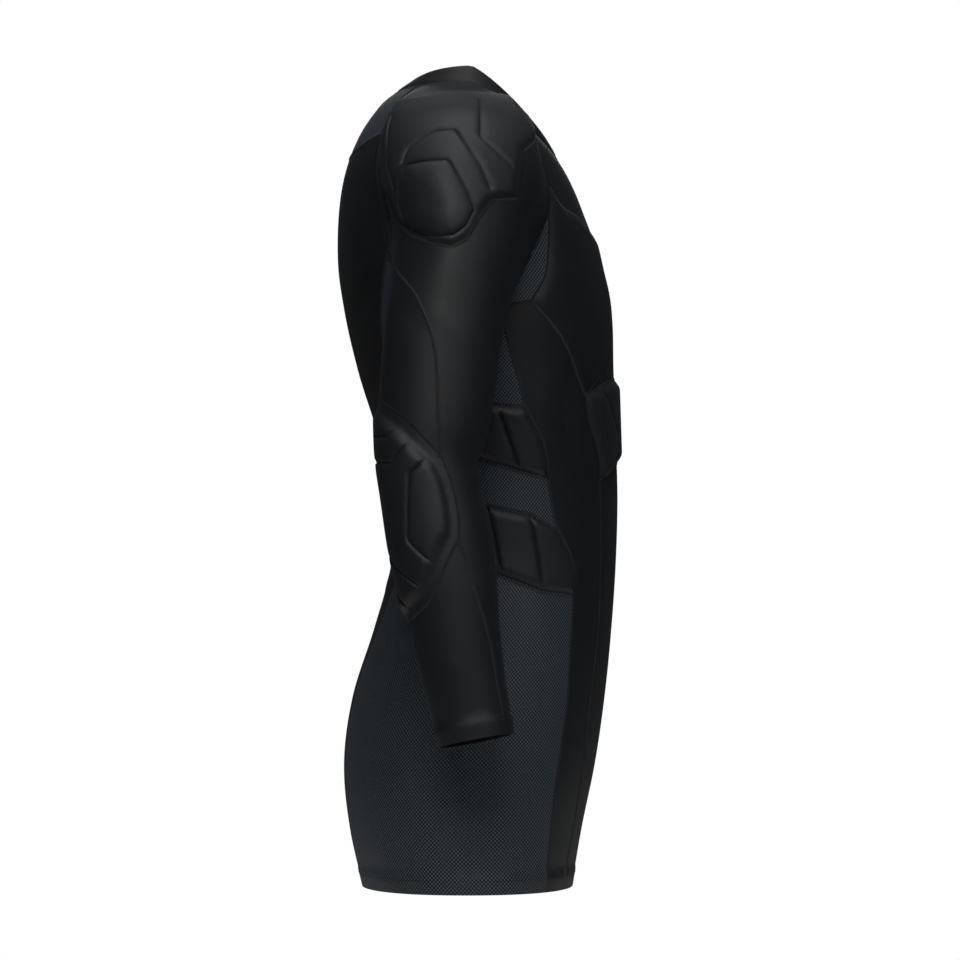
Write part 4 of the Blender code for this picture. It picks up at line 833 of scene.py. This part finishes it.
def pad_parts(name, chart, outline):
    """Relief and net marks of a pad from its grooves and its border."""
    stretch = np.array([chart[1], 1.0])
    shape = PADS[name]
    lines = [placed(chart, table) for table in GROOVES.get(name, ())]
    if name == "elbow_pad":
        lines += [line * [-1, 1] + [2 * ELBOW_MIDDLE, 0] for line in lines]
    if name == "belly_pad":
        lines += [line * [-1, 1] for line in lines]
    flat = [spaced(chart, line, PAD_STEP, smooth=False) * stretch for line in lines]
    outline = outline * stretch
    marks = [inset(outline, shape[0] + share * shape[1]) for share in RISE_SHARES]
    if shape[0] > MARKED_BORDER:
        marks.append(inset(outline, shape[0]))
    for line in flat:
        beside = across(np.gradient(line, axis=0))
        marks += [line + beside * share * shape[4] for share in GROOVE_SHARES]
    return (lambda places: pad_height(places, outline, shape, flat)), [mark / stretch for mark in marks]


def make_pieces():
    """Every piece of the right half and the middle, with a mark on those that the left half repeats."""
    s = seam_network()
    back = {name: seam[::-1] for name, seam in s.items()}
    pieces = []

    def add(name, outline, material, chart=TORSO, paired=True, **more):
        pieces.append((piece(name, chart, outline, material, **more), paired))

    def add_pad(name, outline, chart=TORSO, paired=True, **more):
        relief, marks = pad_parts(name, chart, outline)
        add(name, outline, "pad", chart, paired, relief=relief, marks=marks, step=PAD_STEP, **more)

    raglan = [name for name in s if name.startswith(("torso_front_", "torso_back_"))]
    pairs = [(s[name], s[name.replace("torso", "sleeve")]) for name in raglan]
    lean = seam_normals(TORSO, [(own, SLEEVE, other) for own, other in pairs])
    lean_sleeve = seam_normals(SLEEVE, [(other, TORSO, own) for own, other in pairs])

    def lean_both(about):
        """The same lean for a piece that crosses the front or back middle."""
        def change(places, normals):
            mirror = np.array([-1, 1, 1])
            own = lean(places, normals)
            other = lean(places * [-1, 1] + [2 * about, 0], normals * mirror) * mirror
            on_right = (places[:, :1] >= 0) & (places[:, :1] <= 180)
            return np.where(on_right, own, other)

        return change

    hem_line = HEM + HEM_FOLD

    def hemmed(first, last):
        """Relief and net marks of a piece that reaches the hem, between two bearings."""
        count = max(2, round(abs(last - first) * TORSO[1] / SEAM_STEP))
        marks = [level(hem_line + shift, first, last, count)[1:-1] for shift in (0, FOLD_STEP)]
        return {"relief": fold(HEM, hem_line, FOLD_RAISE), "marks": marks}

    front_foot, mesh_foot, back_foot = (s[name][-1, 0] for name in ("front_seam", "mesh_low", "back_seam"))
    pieces.append((neck_band(s), False))
    add("front_upper", both_halves(0, s["neck_front"], s["torso_front_0"], s["chest_top"], s["centre_edge"],
                                   s["belly_top"]), "lycra", paired=False, lean_edges=lean_both(0))
    add_pad("belly_pad", both_halves(0, back["belly_top"], s["pad_side"], s["belly_lower"]), paired=False)
    add("front_lower", both_halves(0, back["belly_lower"], s["front_seam"], back["hem_front"]), "lycra",
        paired=False, **hemmed(-front_foot, front_foot))
    outline = join(s["torso_front_1"], back["gusset_front"], back["chest_seam"], back["centre_edge"],
                   back["chest_top"])
    relief, marks = pad_parts("chest_panel", TORSO, outline)
    add("chest_panel", outline, "lycra", relief=relief, marks=marks, lean_edges=lean)
    add("underarm_gusset", join(s["torso_front_2"], back["torso_underarm_front"], back["torso_underarm_back"],
                                back["gusset_lower_back"], back["gusset_lower_front"], s["gusset_front"]),
        "mesh", lean_edges=lean)
    mesh_front = [s[name] for name in ("mesh_top", "upper_rib_front", "mesh_middle", "lower_rib_front",
                                       "mesh_low")]
    add("side_front", join(s["gusset_lower_front"], *mesh_front, back["hem_side_front"], back["front_seam"],
                           back["pad_side"], s["chest_seam"]), "lycra", **hemmed(front_foot, mesh_foot))
    add("side_mesh", join(s["gusset_lower_back"], s["back_seam"], back["hem_mesh"], back["mesh_low"],
                          back["lower_rib_back"], back["mesh_middle"], back["upper_rib_back"],
                          back["mesh_top"]), "mesh", **hemmed(mesh_foot, back_foot), lean_edges=lean)
    for name in ("upper", "lower"):
        add_pad(f"rib_pad_{name}", join(s[f"{name}_rib_front"], back[f"{name}_rib_back"]))
    add("back_yoke", both_halves(180, back["neck_back"], s["torso_back_0"], s["yoke_lower"]), "mesh",
        paired=False, lean_edges=lean_both(180))
    add("back_panel", both_halves(180, back["yoke_lower"], s["torso_back_1"], s["back_seam"], s["hem_back"]),
        "lycra", paired=False, **hemmed(back_foot, 360 - back_foot), lean_edges=lean_both(180))

    cuff_line = SLEEVE_END - CUFF_FOLD
    cuffed = {"relief": fold(cuff_line, SLEEVE_END, FOLD_RAISE), "lean_edges": lean_sleeve,
              "marks": [level(cuff_line - shift, *CUFF_MARKS) for shift in (0, FOLD_STEP)]}
    shoulder, dome = (spaced(SLEEVE, placed(SLEEVE, table + table[:1]), PAD_STEP, smooth=False)[:-1]
                      for table in (SHOULDER_PAD, SHOULDER_DOME))
    add("sleeve_front", join(s["sleeve_neck"], s["sleeve_back_0"], s["sleeve_back_1"], s["sleeve_seam_top"],
                             s["elbow_front"], s["sleeve_seam_low"], s["cuff_front"],
                             back["inner_seam"] - [360, 0], s["sleeve_underarm_front"] - [360, 0],
                             back["sleeve_front_2"], back["sleeve_front_1"], back["sleeve_front_0"]),
        "lycra", SLEEVE, holes=[shoulder], **cuffed)
    add("sleeve_back", join(s["sleeve_underarm_back"], s["inner_seam"], back["cuff_back"],
                            back["sleeve_seam_low"], s["elbow_below"], back["elbow_inner"], s["elbow_above"],
                            back["sleeve_seam_top"]), "lycra", SLEEVE, **cuffed)
    for made, paired in shoulder_pieces(shoulder, dome):
        pieces.append((made, paired))
    add_pad("elbow_pad", join(s["elbow_above"], s["elbow_front"], s["elbow_below"], back["elbow_inner"]),
            SLEEVE)
    return pieces, s, shoulder, dome


def shoulder_pieces(shoulder, dome):
    """The shoulder pad and the dome let into it, which share a groove and the pad's relief."""
    stretch = np.array([SLEEVE[1], 1.0])
    edge_of_dome = closed(dome * stretch)
    _, dome_rise, dome_height, edge_depth, edge_width = PADS["shoulder_dome"]
    relief, marks = pad_parts("shoulder_pad", SLEEVE, shoulder)
    _, dome_marks = pad_parts("shoulder_dome", SLEEVE, dome)

    def round_dome(flat):
        return relief(flat) - edge_depth * np.exp(-(distance(flat, edge_of_dome) / edge_width) ** 2)

    def dome_relief(flat):
        part = np.clip(distance(flat, edge_of_dome) / dome_rise, 0, 1)
        return round_dome(flat) + dome_height * np.sin(np.pi / 2 * part)

    def rings(side):
        """Net marks that follow the groove round the dome, on the dome's side or the pad's."""
        return [inset(dome * stretch, side * share * edge_width) / stretch for share in RING_SHARES]

    return [(piece("shoulder_pad", SLEEVE, shoulder, "pad", holes=[dome], relief=round_dome,
                   marks=rings(-1) + marks, step=PAD_STEP), True),
            (piece("shoulder_dome", SLEEVE, dome, "pad", relief=dome_relief, marks=rings(1) + dome_marks,
                   step=PAD_STEP), True)]


# Sewing. Flatlock seams join cloth to cloth: a low ridge of thread half across, with cross stitches over it.
FLATLOCK_HALF, FLATLOCK_RISE = 0.0017, 0.00032
# The ridge in section, in half widths across and rises up, with the step along it and how deep it is bedded
RIDGE_PROFILE = ((-1.0, -0.25), (-0.75, 0.55), (-0.3, 0.9), (0.0, 0.75), (0.3, 0.9), (0.75, 0.55),
                 (1.0, -0.25))
RIDGE_STEP, RIDGE_BED = 0.004, 0.6
STITCH_PITCH, STITCH_HALF, THREAD = 0.0014, 0.0014, 0.00021
# A thread's lift over the cloth and its thickness at the ends, as shares of its radius
THREAD_LIFT, THREAD_END = 0.9, 0.6
# Straight rows: stitch, gap, the rows' distances and how far they stand off the fold. Then where rows end
HEM_STITCH, HEM_GAP, HEM_ROWS, HEM_OFFSET = 0.0026, 0.0007, (0.0010, 0.0042), 0.0005
HALF_ROUND, WHOLE_CUFF = (0.5, 179.5), (-144, 214)
ROW_PARTS, ROW_STEP = 40, 0.0008
# The neckline's rows stand below it by this, closer together than the hem's in this ratio
NECK_ROWS_BELOW, NECK_ROWS_RATIO = 0.0033, 3
# How high the stitches of the belly pad lie over its seam, and how far those of other pads lie beside it
BELLY_STITCH_LIFT, PAD_EDGE_OFFSET = 0.0003, 0.0016
TORSO_SEAMS = ("chest_top", "centre_edge", "chest_seam", "gusset_front", "gusset_lower_front",
               "gusset_lower_back", "mesh_top", "mesh_middle", "mesh_low", "front_seam", "back_seam",
               "yoke_lower", "torso_front_0", "torso_front_1", "torso_front_2", "torso_back_0",
               "torso_back_1")
SLEEVE_SEAMS = ("sleeve_seam_top", "sleeve_seam_low", "inner_seam")


def on_cloth(chart, places):
    """Points on the finished cloth with the surface normal and the direction across the line."""
    normals = chart_normals(chart, places)
    points = chart[0](*places.T) + normals * crease(chart, places)[:, None]
    return points, normals, unit(np.cross(normals, np.gradient(points, axis=0)))


def ridge(chart, line):
    """Points and faces of a low rounded ridge of thread along a seam."""
    points, normals, side = on_cloth(chart, spaced(chart, line, RIDGE_STEP, smooth=False))
    rows = [points + side * (beside * FLATLOCK_HALF) + normals * up * FLATLOCK_RISE
            for beside, up in RIDGE_PROFILE]
    rows += [points - normals * RIDGE_BED * FLATLOCK_RISE]
    count, width = len(points), len(rows)
    last = (count - 1) * width
    faces = [(at + j, at + (j + 1) % width, at + width + (j + 1) % width, at + width + j)
             for at in range(0, last, width) for j in range(width)]
    faces += [tuple(range(width))[::-1], tuple(range(last, last + width))]
    return np.stack(rows, 1).reshape(-1, 3), faces


def bars(starts, ends, normals):
    """Short four-sided threads between pairs of points, bowed over the cloth in the middle."""
    side = np.cross(normals, unit(ends - starts))
    middle = (starts + ends) / 2 + normals * THREAD * THREAD_LIFT
    rings = []
    for at, size in ((starts, THREAD_END), (middle, 1.0), (ends, THREAD_END)):
        rings += [at + side * THREAD * size, at + normals * THREAD * size, at - side * THREAD * size,
                  at - normals * THREAD * size]
    faces = []
    for at in range(0, 12 * len(starts), 12):
        for ring in (at, at + 4):
            faces += [(ring + j, ring + (j + 1) % 4, ring + 4 + (j + 1) % 4, ring + 4 + j) for j in range(4)]
        faces += [(at + 3, at + 2, at + 1, at), (at + 8, at + 9, at + 10, at + 11)]
    return np.stack(rings, 1).reshape(-1, 3), faces


def cross_stitches(chart, line, offset=0.0, lift=FLATLOCK_RISE):
    """Zigzag stitches across a seam."""
    points, normals, side = on_cloth(chart, spaced(chart, line, STITCH_PITCH / 2, smooth=False))
    sway = np.where(np.arange(len(points)) % 2, 1.0, -1.0)[:, None] * STITCH_HALF
    ends = points + side * (offset + sway) + normals * lift * THREAD_LIFT
    return bars(ends[:-1], ends[1:], normals[:-1])


def row_stitches(chart, height, first, last, lift):
    """A straight row of stitches at one height, from one bearing to another."""
    line = spaced(chart, level(height, first, last, ROW_PARTS), ROW_STEP, smooth=False)
    points, normals, _ = on_cloth(chart, line)
    length = lengths_along(points)
    starts = np.arange(0, length[-1] - HEM_STITCH, HEM_STITCH + HEM_GAP)
    raised = points + normals * lift
    return bars(read_at(starts, length, raised), read_at(starts + HEM_STITCH, length, raised),
                read_at(starts, length, normals))


def together(parts):
    """One set of points and faces from several."""
    vertices, faces, first = [], [], 0
    for points, part in parts:
        vertices.append(points)
        faces += [tuple(i + first for i in face) for face in part]
        first += len(points)
    return np.concatenate(vertices), faces


def outward(chart, loop):
    """1 where the cloth outside a loop is on the line's side direction, else -1."""
    return -turning(loop * [chart[1], 1]) * chart[2]


def sewing(s, shoulder, dome):
    """Ridges and stitches of the right half, as named groups of points and faces."""
    ridges, stitches = {"torso": [], "sleeve": []}, {"torso": [], "sleeve": []}
    for owner, chart, names in (("torso", TORSO, TORSO_SEAMS), ("sleeve", SLEEVE, SLEEVE_SEAMS)):
        for name in names:
            ridges[owner].append(ridge(chart, s[name]))
            stitches[owner].append(cross_stitches(chart, s[name]))
    for name in ("torso_underarm_back", "torso_underarm_front"):
        ridges["torso"].append(ridge(TORSO, s[name][1:-1]))
    elbow = join(s["elbow_above"], s["elbow_front"], s["elbow_below"], s["elbow_inner"][::-1])
    for owner, chart, loop in (("torso", TORSO, join(s["upper_rib_front"], s["upper_rib_back"][::-1])),
                               ("torso", TORSO, join(s["lower_rib_front"], s["lower_rib_back"][::-1])),
                               ("sleeve", SLEEVE, shoulder), ("sleeve", SLEEVE, elbow)):
        offset = outward(chart, loop) * PAD_EDGE_OFFSET
        stitches[owner].append(cross_stitches(chart, closed(loop), offset=offset, lift=0.0))
    for name in ("pad_side", "belly_top", "belly_lower"):
        stitches["torso"].append(cross_stitches(TORSO, s[name], lift=BELLY_STITCH_LIFT))
    for row in HEM_ROWS:
        height = HEM + HEM_FOLD + row - HEM_ROWS[1] + HEM_OFFSET
        lift = FOLD_RAISE * (height < HEM + HEM_FOLD)
        stitches["torso"].append(row_stitches(TORSO, height, *HALF_ROUND, lift))
        length = SLEEVE_END - CUFF_FOLD - row + HEM_ROWS[1] - HEM_OFFSET
        lift = FOLD_RAISE * (length > SLEEVE_END - CUFF_FOLD)
        stitches["sleeve"].append(row_stitches(SLEEVE, length, *WHOLE_CUFF, lift))
        height = row / NECK_ROWS_RATIO - NECK_ROWS_BELOW
        stitches["torso"].append(row_stitches(TORSO, height, *HALF_ROUND, 0.0))
    return ridges, stitches


def joined_nodes(tree, kind, settings=(), **inputs):
    """A shader node with settings, and inputs that are values or other nodes' outputs."""
    node = tree.nodes.new(kind)
    for name, value in dict(settings).items():
        setattr(node, name, value)
    for name, value in inputs.items():
        socket = node.inputs[int(name[1:])] if name[0] == "i" and name[1:].isdigit() else node.inputs[name]
        if isinstance(value, bpy.types.NodeSocket):
            tree.links.new(value, socket)
        else:
            socket.default_value = value
    return node


def math_node(tree, operation, first, second=0.0):
    """The result of arithmetic on two numbers or outputs."""
    return joined_nodes(tree, "ShaderNodeMath", {"operation": operation}, i0=first, i1=second).outputs[0]


def vector_node(tree, operation, first, second=(0.0, 0.0, 0.0)):
    """A node for arithmetic on two vectors or outputs."""
    return joined_nodes(tree, "ShaderNodeVectorMath", {"operation": operation}, i0=first, i1=second)


def dots(tree, place, wide, high):
    """Distance from the nearest of the dots of a staggered grid, 0 at a dot and 0.5 a cell away."""
    scaled = vector_node(tree, "MULTIPLY", place, (1 / wide, 1 / high, 0.0)).outputs[0]
    found = []
    for shift in (0.0, 0.5):
        moved = vector_node(tree, "ADD", scaled, (shift, shift, 0.0)).outputs[0]
        cell = vector_node(tree, "FRACTION", moved).outputs[0]
        middle = vector_node(tree, "SUBTRACT", cell, (0.5, 0.5, 0.0)).outputs[0]
        found.append(vector_node(tree, "LENGTH", middle).outputs["Value"])
    return math_node(tree, "MINIMUM", found[0], found[1])


# Colours and finish of each cloth: dark and light tone, roughness, sheen and the depth of its knit
CLOTHS = {
    "lycra": ((0.0042, 0.0048, 0.0058), (0.0074, 0.0082, 0.0098), 0.53, 0.010, 0.00005),
    "pad": ((0.0070, 0.0076, 0.0089), (0.0112, 0.0122, 0.0142), 0.52, 0.010, 0.00005),
    "mesh": ((0.0010, 0.0014, 0.0020), (0.0490, 0.0640, 0.0800), 0.60, 0.02, 0.00030),
    "thread": ((0.0070, 0.0076, 0.0088), (0.0190, 0.0200, 0.0220), 0.60, 0.01, 0.00008),
}
# Size of the knit's loops and of the mesh's cells, which hold a knot each
KNIT_ACROSS, KNIT_DOWN = 0.00062, 0.00050
HOLE_ACROSS, HOLE_DOWN = 0.0029, 0.0036
# Where a knot of the mesh starts to fade into the holes round it, and where it ends, in cells
KNOT_EDGE = (0.14, 0.36)
# The wave texture's period at scale 1, and the scales of the slow and the fine noise
WAVE_PERIOD, SLOW_SCALE, GRAIN_SCALE = 0.314, 22.0, 900.0
# Finish shared by all cloths: sheen, shine, how far roughness varies each way and the strength of the bumps
SHEEN_ROUGHNESS, SHEEN_TINT, SHINE = 0.45, (0.80, 0.86, 0.95, 1), 0.27
ROUGHER, SMOOTHER, BUMP_STRENGTH = 0.07, 0.05, 0.6
# Shares of the loops and the grain in the knit's height, and of the knit in the mesh's tone and height
LOOP_SHARE, GRAIN_SHARE = 0.7, 0.3
MESH_TONE_SHARE, MESH_TONE_BASE, MESH_KNIT_SHARE = 0.5, 0.75, 0.12


def cloth_material(kind):
    """Procedural knit: fine loops, slow changes of tone, worn-in roughness and, on mesh, staggered holes."""
    dark, light, roughness, sheen, depth = CLOTHS[kind]
    material = bpy.data.materials.new("cloth_" + kind)
    material.use_nodes = True
    tree = material.node_tree
    shader = tree.nodes["Principled BSDF"]
    for name, value in (("Sheen Weight", sheen), ("Sheen Roughness", SHEEN_ROUGHNESS),
                        ("Sheen Tint", SHEEN_TINT), ("Specular IOR Level", SHINE)):
        shader.inputs[name].default_value = value

    def mixed(first, first_share, second, second_share):
        return math_node(tree, "ADD", math_node(tree, "MULTIPLY", first, first_share),
                         math_node(tree, "MULTIPLY", second, second_share))

    def noise(scale, detail):
        node = joined_nodes(tree, "ShaderNodeTexNoise", Vector=spot, Scale=scale, Detail=detail)
        return node.outputs["Fac"]

    def stripes(direction, size):
        return joined_nodes(tree, "ShaderNodeTexWave", {"bands_direction": direction}, Vector=place,
                            Scale=WAVE_PERIOD / size).outputs["Fac"]

    place = joined_nodes(tree, "ShaderNodeUVMap", {"uv_map": "cloth"}).outputs["UV"]
    spot = joined_nodes(tree, "ShaderNodeTexCoord").outputs["Object"]
    slow, grain = noise(SLOW_SCALE, 3.0), noise(GRAIN_SCALE, 2.0)
    loops = math_node(tree, "MULTIPLY", stripes("X", KNIT_ACROSS), stripes("Y", KNIT_DOWN))
    tone = mixed(slow, 0.5, grain, 0.5)
    height = mixed(loops, LOOP_SHARE, grain, GRAIN_SHARE)
    if kind == "mesh":
        ends = {"From Min": KNOT_EDGE[0], "From Max": KNOT_EDGE[1], "To Min": 1.0, "To Max": 0.0}
        far = dots(tree, place, HOLE_ACROSS, HOLE_DOWN)
        knot = joined_nodes(tree, "ShaderNodeMapRange", {"interpolation_type": "SMOOTHSTEP"}, Value=far,
                            **ends).outputs["Result"]
        tone = math_node(tree, "MULTIPLY", tone, MESH_TONE_SHARE)
        tone = math_node(tree, "MULTIPLY", knot, math_node(tree, "ADD", tone, MESH_TONE_BASE))
        height = math_node(tree, "ADD", knot, math_node(tree, "MULTIPLY", height, MESH_KNIT_SHARE))
    colour = joined_nodes(tree, "ShaderNodeMix", {"data_type": "RGBA"}, i0=tone)
    colour.inputs[6].default_value, colour.inputs[7].default_value = (*dark, 1), (*light, 1)
    tree.links.new(colour.outputs[2], shader.inputs["Base Color"])
    rough = joined_nodes(tree, "ShaderNodeMapRange", Value=slow,
                         **{"To Min": roughness - SMOOTHER, "To Max": roughness + ROUGHER}).outputs["Result"]
    tree.links.new(rough, shader.inputs["Roughness"])
    bump = joined_nodes(tree, "ShaderNodeBump", Height=height, Distance=depth, Strength=BUMP_STRENGTH)
    tree.links.new(bump.outputs["Normal"], shader.inputs["Normal"])
    material.diffuse_color = (*light, 1)
    return material


MATERIALS = {kind: cloth_material(kind) for kind in CLOTHS}
SHARP_EDGE = math.radians(50)


def add_object(name, data):
    """A new object in the scene."""
    added = bpy.data.objects.new(name, data)
    bpy.context.scene.collection.objects.link(added)
    return added


def add_mesh(name, points, faces, kind, flat=None):
    """An object with its cloth coordinates in metres, which rides on the shirt."""
    mesh = bpy.data.meshes.new(name)
    mesh.from_pydata(points.tolist(), [], faces)
    mesh.materials.append(MATERIALS[kind])
    owner = np.empty(len(mesh.loops), int)
    mesh.loops.foreach_get("vertex_index", owner)
    layer = mesh.uv_layers.new(name="cloth")
    spread = points[:, 1:] if flat is None else flat
    layer.uv.foreach_set("vector", spread[owner].ravel())
    mesh.shade_smooth()
    mesh.set_sharp_from_angle(angle=SHARP_EDGE)
    shape = add_object(name, mesh)
    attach(shape, "root")
    return shape


PADDED = ("belly_pad", "rib_pad_upper", "rib_pad_lower", "shoulder_pad", "shoulder_dome", "elbow_pad",
          "chest_panel")
# The piece that each group of ridges and stitches goes with
TRIM_GOES_WITH = {"side_front": "torso", "sleeve_front": "sleeve"}


def dress():
    """Adds every piece of cloth, and the ridges and stitches that hold them, on both sides."""
    pieces, s, shoulder, dome = make_pieces()
    ridges, stitches = sewing(s, shoulder, dome)
    for owner in ("torso", "sleeve"):
        for kind, parts in (("ridge", ridges[owner]), ("stitch", stitches[owner])):
            points, faces = together(parts)
            name = f"{kind}_{owner}"
            add_mesh(name + "_right", points, faces, "thread")
            flipped = [face[::-1] for face in faces]
            add_mesh(name + "_left", points * [-1, 1, 1], flipped, "thread")
    for (name, points, faces, kind, flat), paired in pieces:
        for side, turn in (("_right", 1), ("_left", -1)) if paired else (("", 1),):
            side_faces = faces if turn > 0 else [face[::-1] for face in faces]
            shape = add_mesh("cloth_" + name + side, points * [turn, 1, 1], side_faces, kind,
                             flat * [turn, 1])
            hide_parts(name + side)
            if name in PADDED:
                continue
            owner = TRIM_GOES_WITH.get(name)


dress()

# Camera as in the picture: level, square to the wearer's right side, six metres away
camera = add_object("camera", bpy.data.cameras.new("camera"))
camera.data.lens, camera.data.sensor_width = 250.0, 36.0
camera.location = (-EYE_DISTANCE, -0.0018, -0.3465)
camera.rotation_euler = (math.radians(90), 0.0, math.radians(-90))
bpy.context.scene.camera = camera

# A small floor below the hem, outside the camera's view
FLOOR_HALF, FLOOR_HEIGHT = 0.62, -0.83
FLOOR_CORNERS = ((-1, -1), (1, -1), (1, 1), (-1, 1))
floor_mesh = bpy.data.meshes.new("floor")
floor_mesh.from_pydata([(x * FLOOR_HALF, y * FLOOR_HALF, FLOOR_HEIGHT) for x, y in FLOOR_CORNERS],
                       [], [(0, 1, 2, 3)])
floor_paint = bpy.data.materials.new("floor")
floor_paint.use_nodes = True
floor_shader = floor_paint.node_tree.nodes["Principled BSDF"]
floor_shader.inputs["Base Color"].default_value = (0.92, 0.92, 0.92, 1)
floor_shader.inputs["Roughness"].default_value = 0.9
floor_mesh.materials.append(floor_paint)
floor = add_object("floor", floor_mesh)

# The backdrop looks white, and lights the cloth like a dim room round the soft boxes.
ROOM_LIGHT = 0.03
world = bpy.data.worlds.new("studio")
world.use_nodes = True
background = world.node_tree.nodes["Background"]
background.inputs["Color"].default_value = (1, 1, 1, 1)
seen = world.node_tree.nodes.new("ShaderNodeLightPath").outputs["Is Camera Ray"]
strength = joined_nodes(world.node_tree, "ShaderNodeMapRange", Value=seen,
                        **{"To Min": ROOM_LIGHT, "To Max": 1.0})
world.node_tree.links.new(strength.outputs["Result"], background.inputs["Strength"])
bpy.context.scene.world = world
bpy.context.scene.view_settings.view_transform = "Standard"

# Soft boxes: name, place, what they face, width and height, and power in watts
LIGHTS = (
    ("overhead", (-0.3, 0.0, 2.4), (0, 0, 0), 2.6, 2.6, 50.0),
    ("side", (-2.6, 0.25, 1.5), (0, 0, -0.3), 1.3, 1.3, 50.0),
    ("front_side", (-2.3, -1.5, 1.0), (0, 0, -0.2), 0.8, 0.8, 15.0),
    ("far_side", (3.4, 0.0, 0.9), (0, 0, -0.35), 1.4, 1.4, 12.0),
)
for name, place, target, width, height, power in LIGHTS:
    lamp = bpy.data.lights.new(name, "AREA")
    lamp.shape, lamp.size, lamp.size_y, lamp.energy = "RECTANGLE", width, height, power
    light = add_object(name, lamp)
    light.location = place
    light.rotation_euler = (Vector(target) - Vector(place)).to_track_quat("-Z", "Y").to_euler()
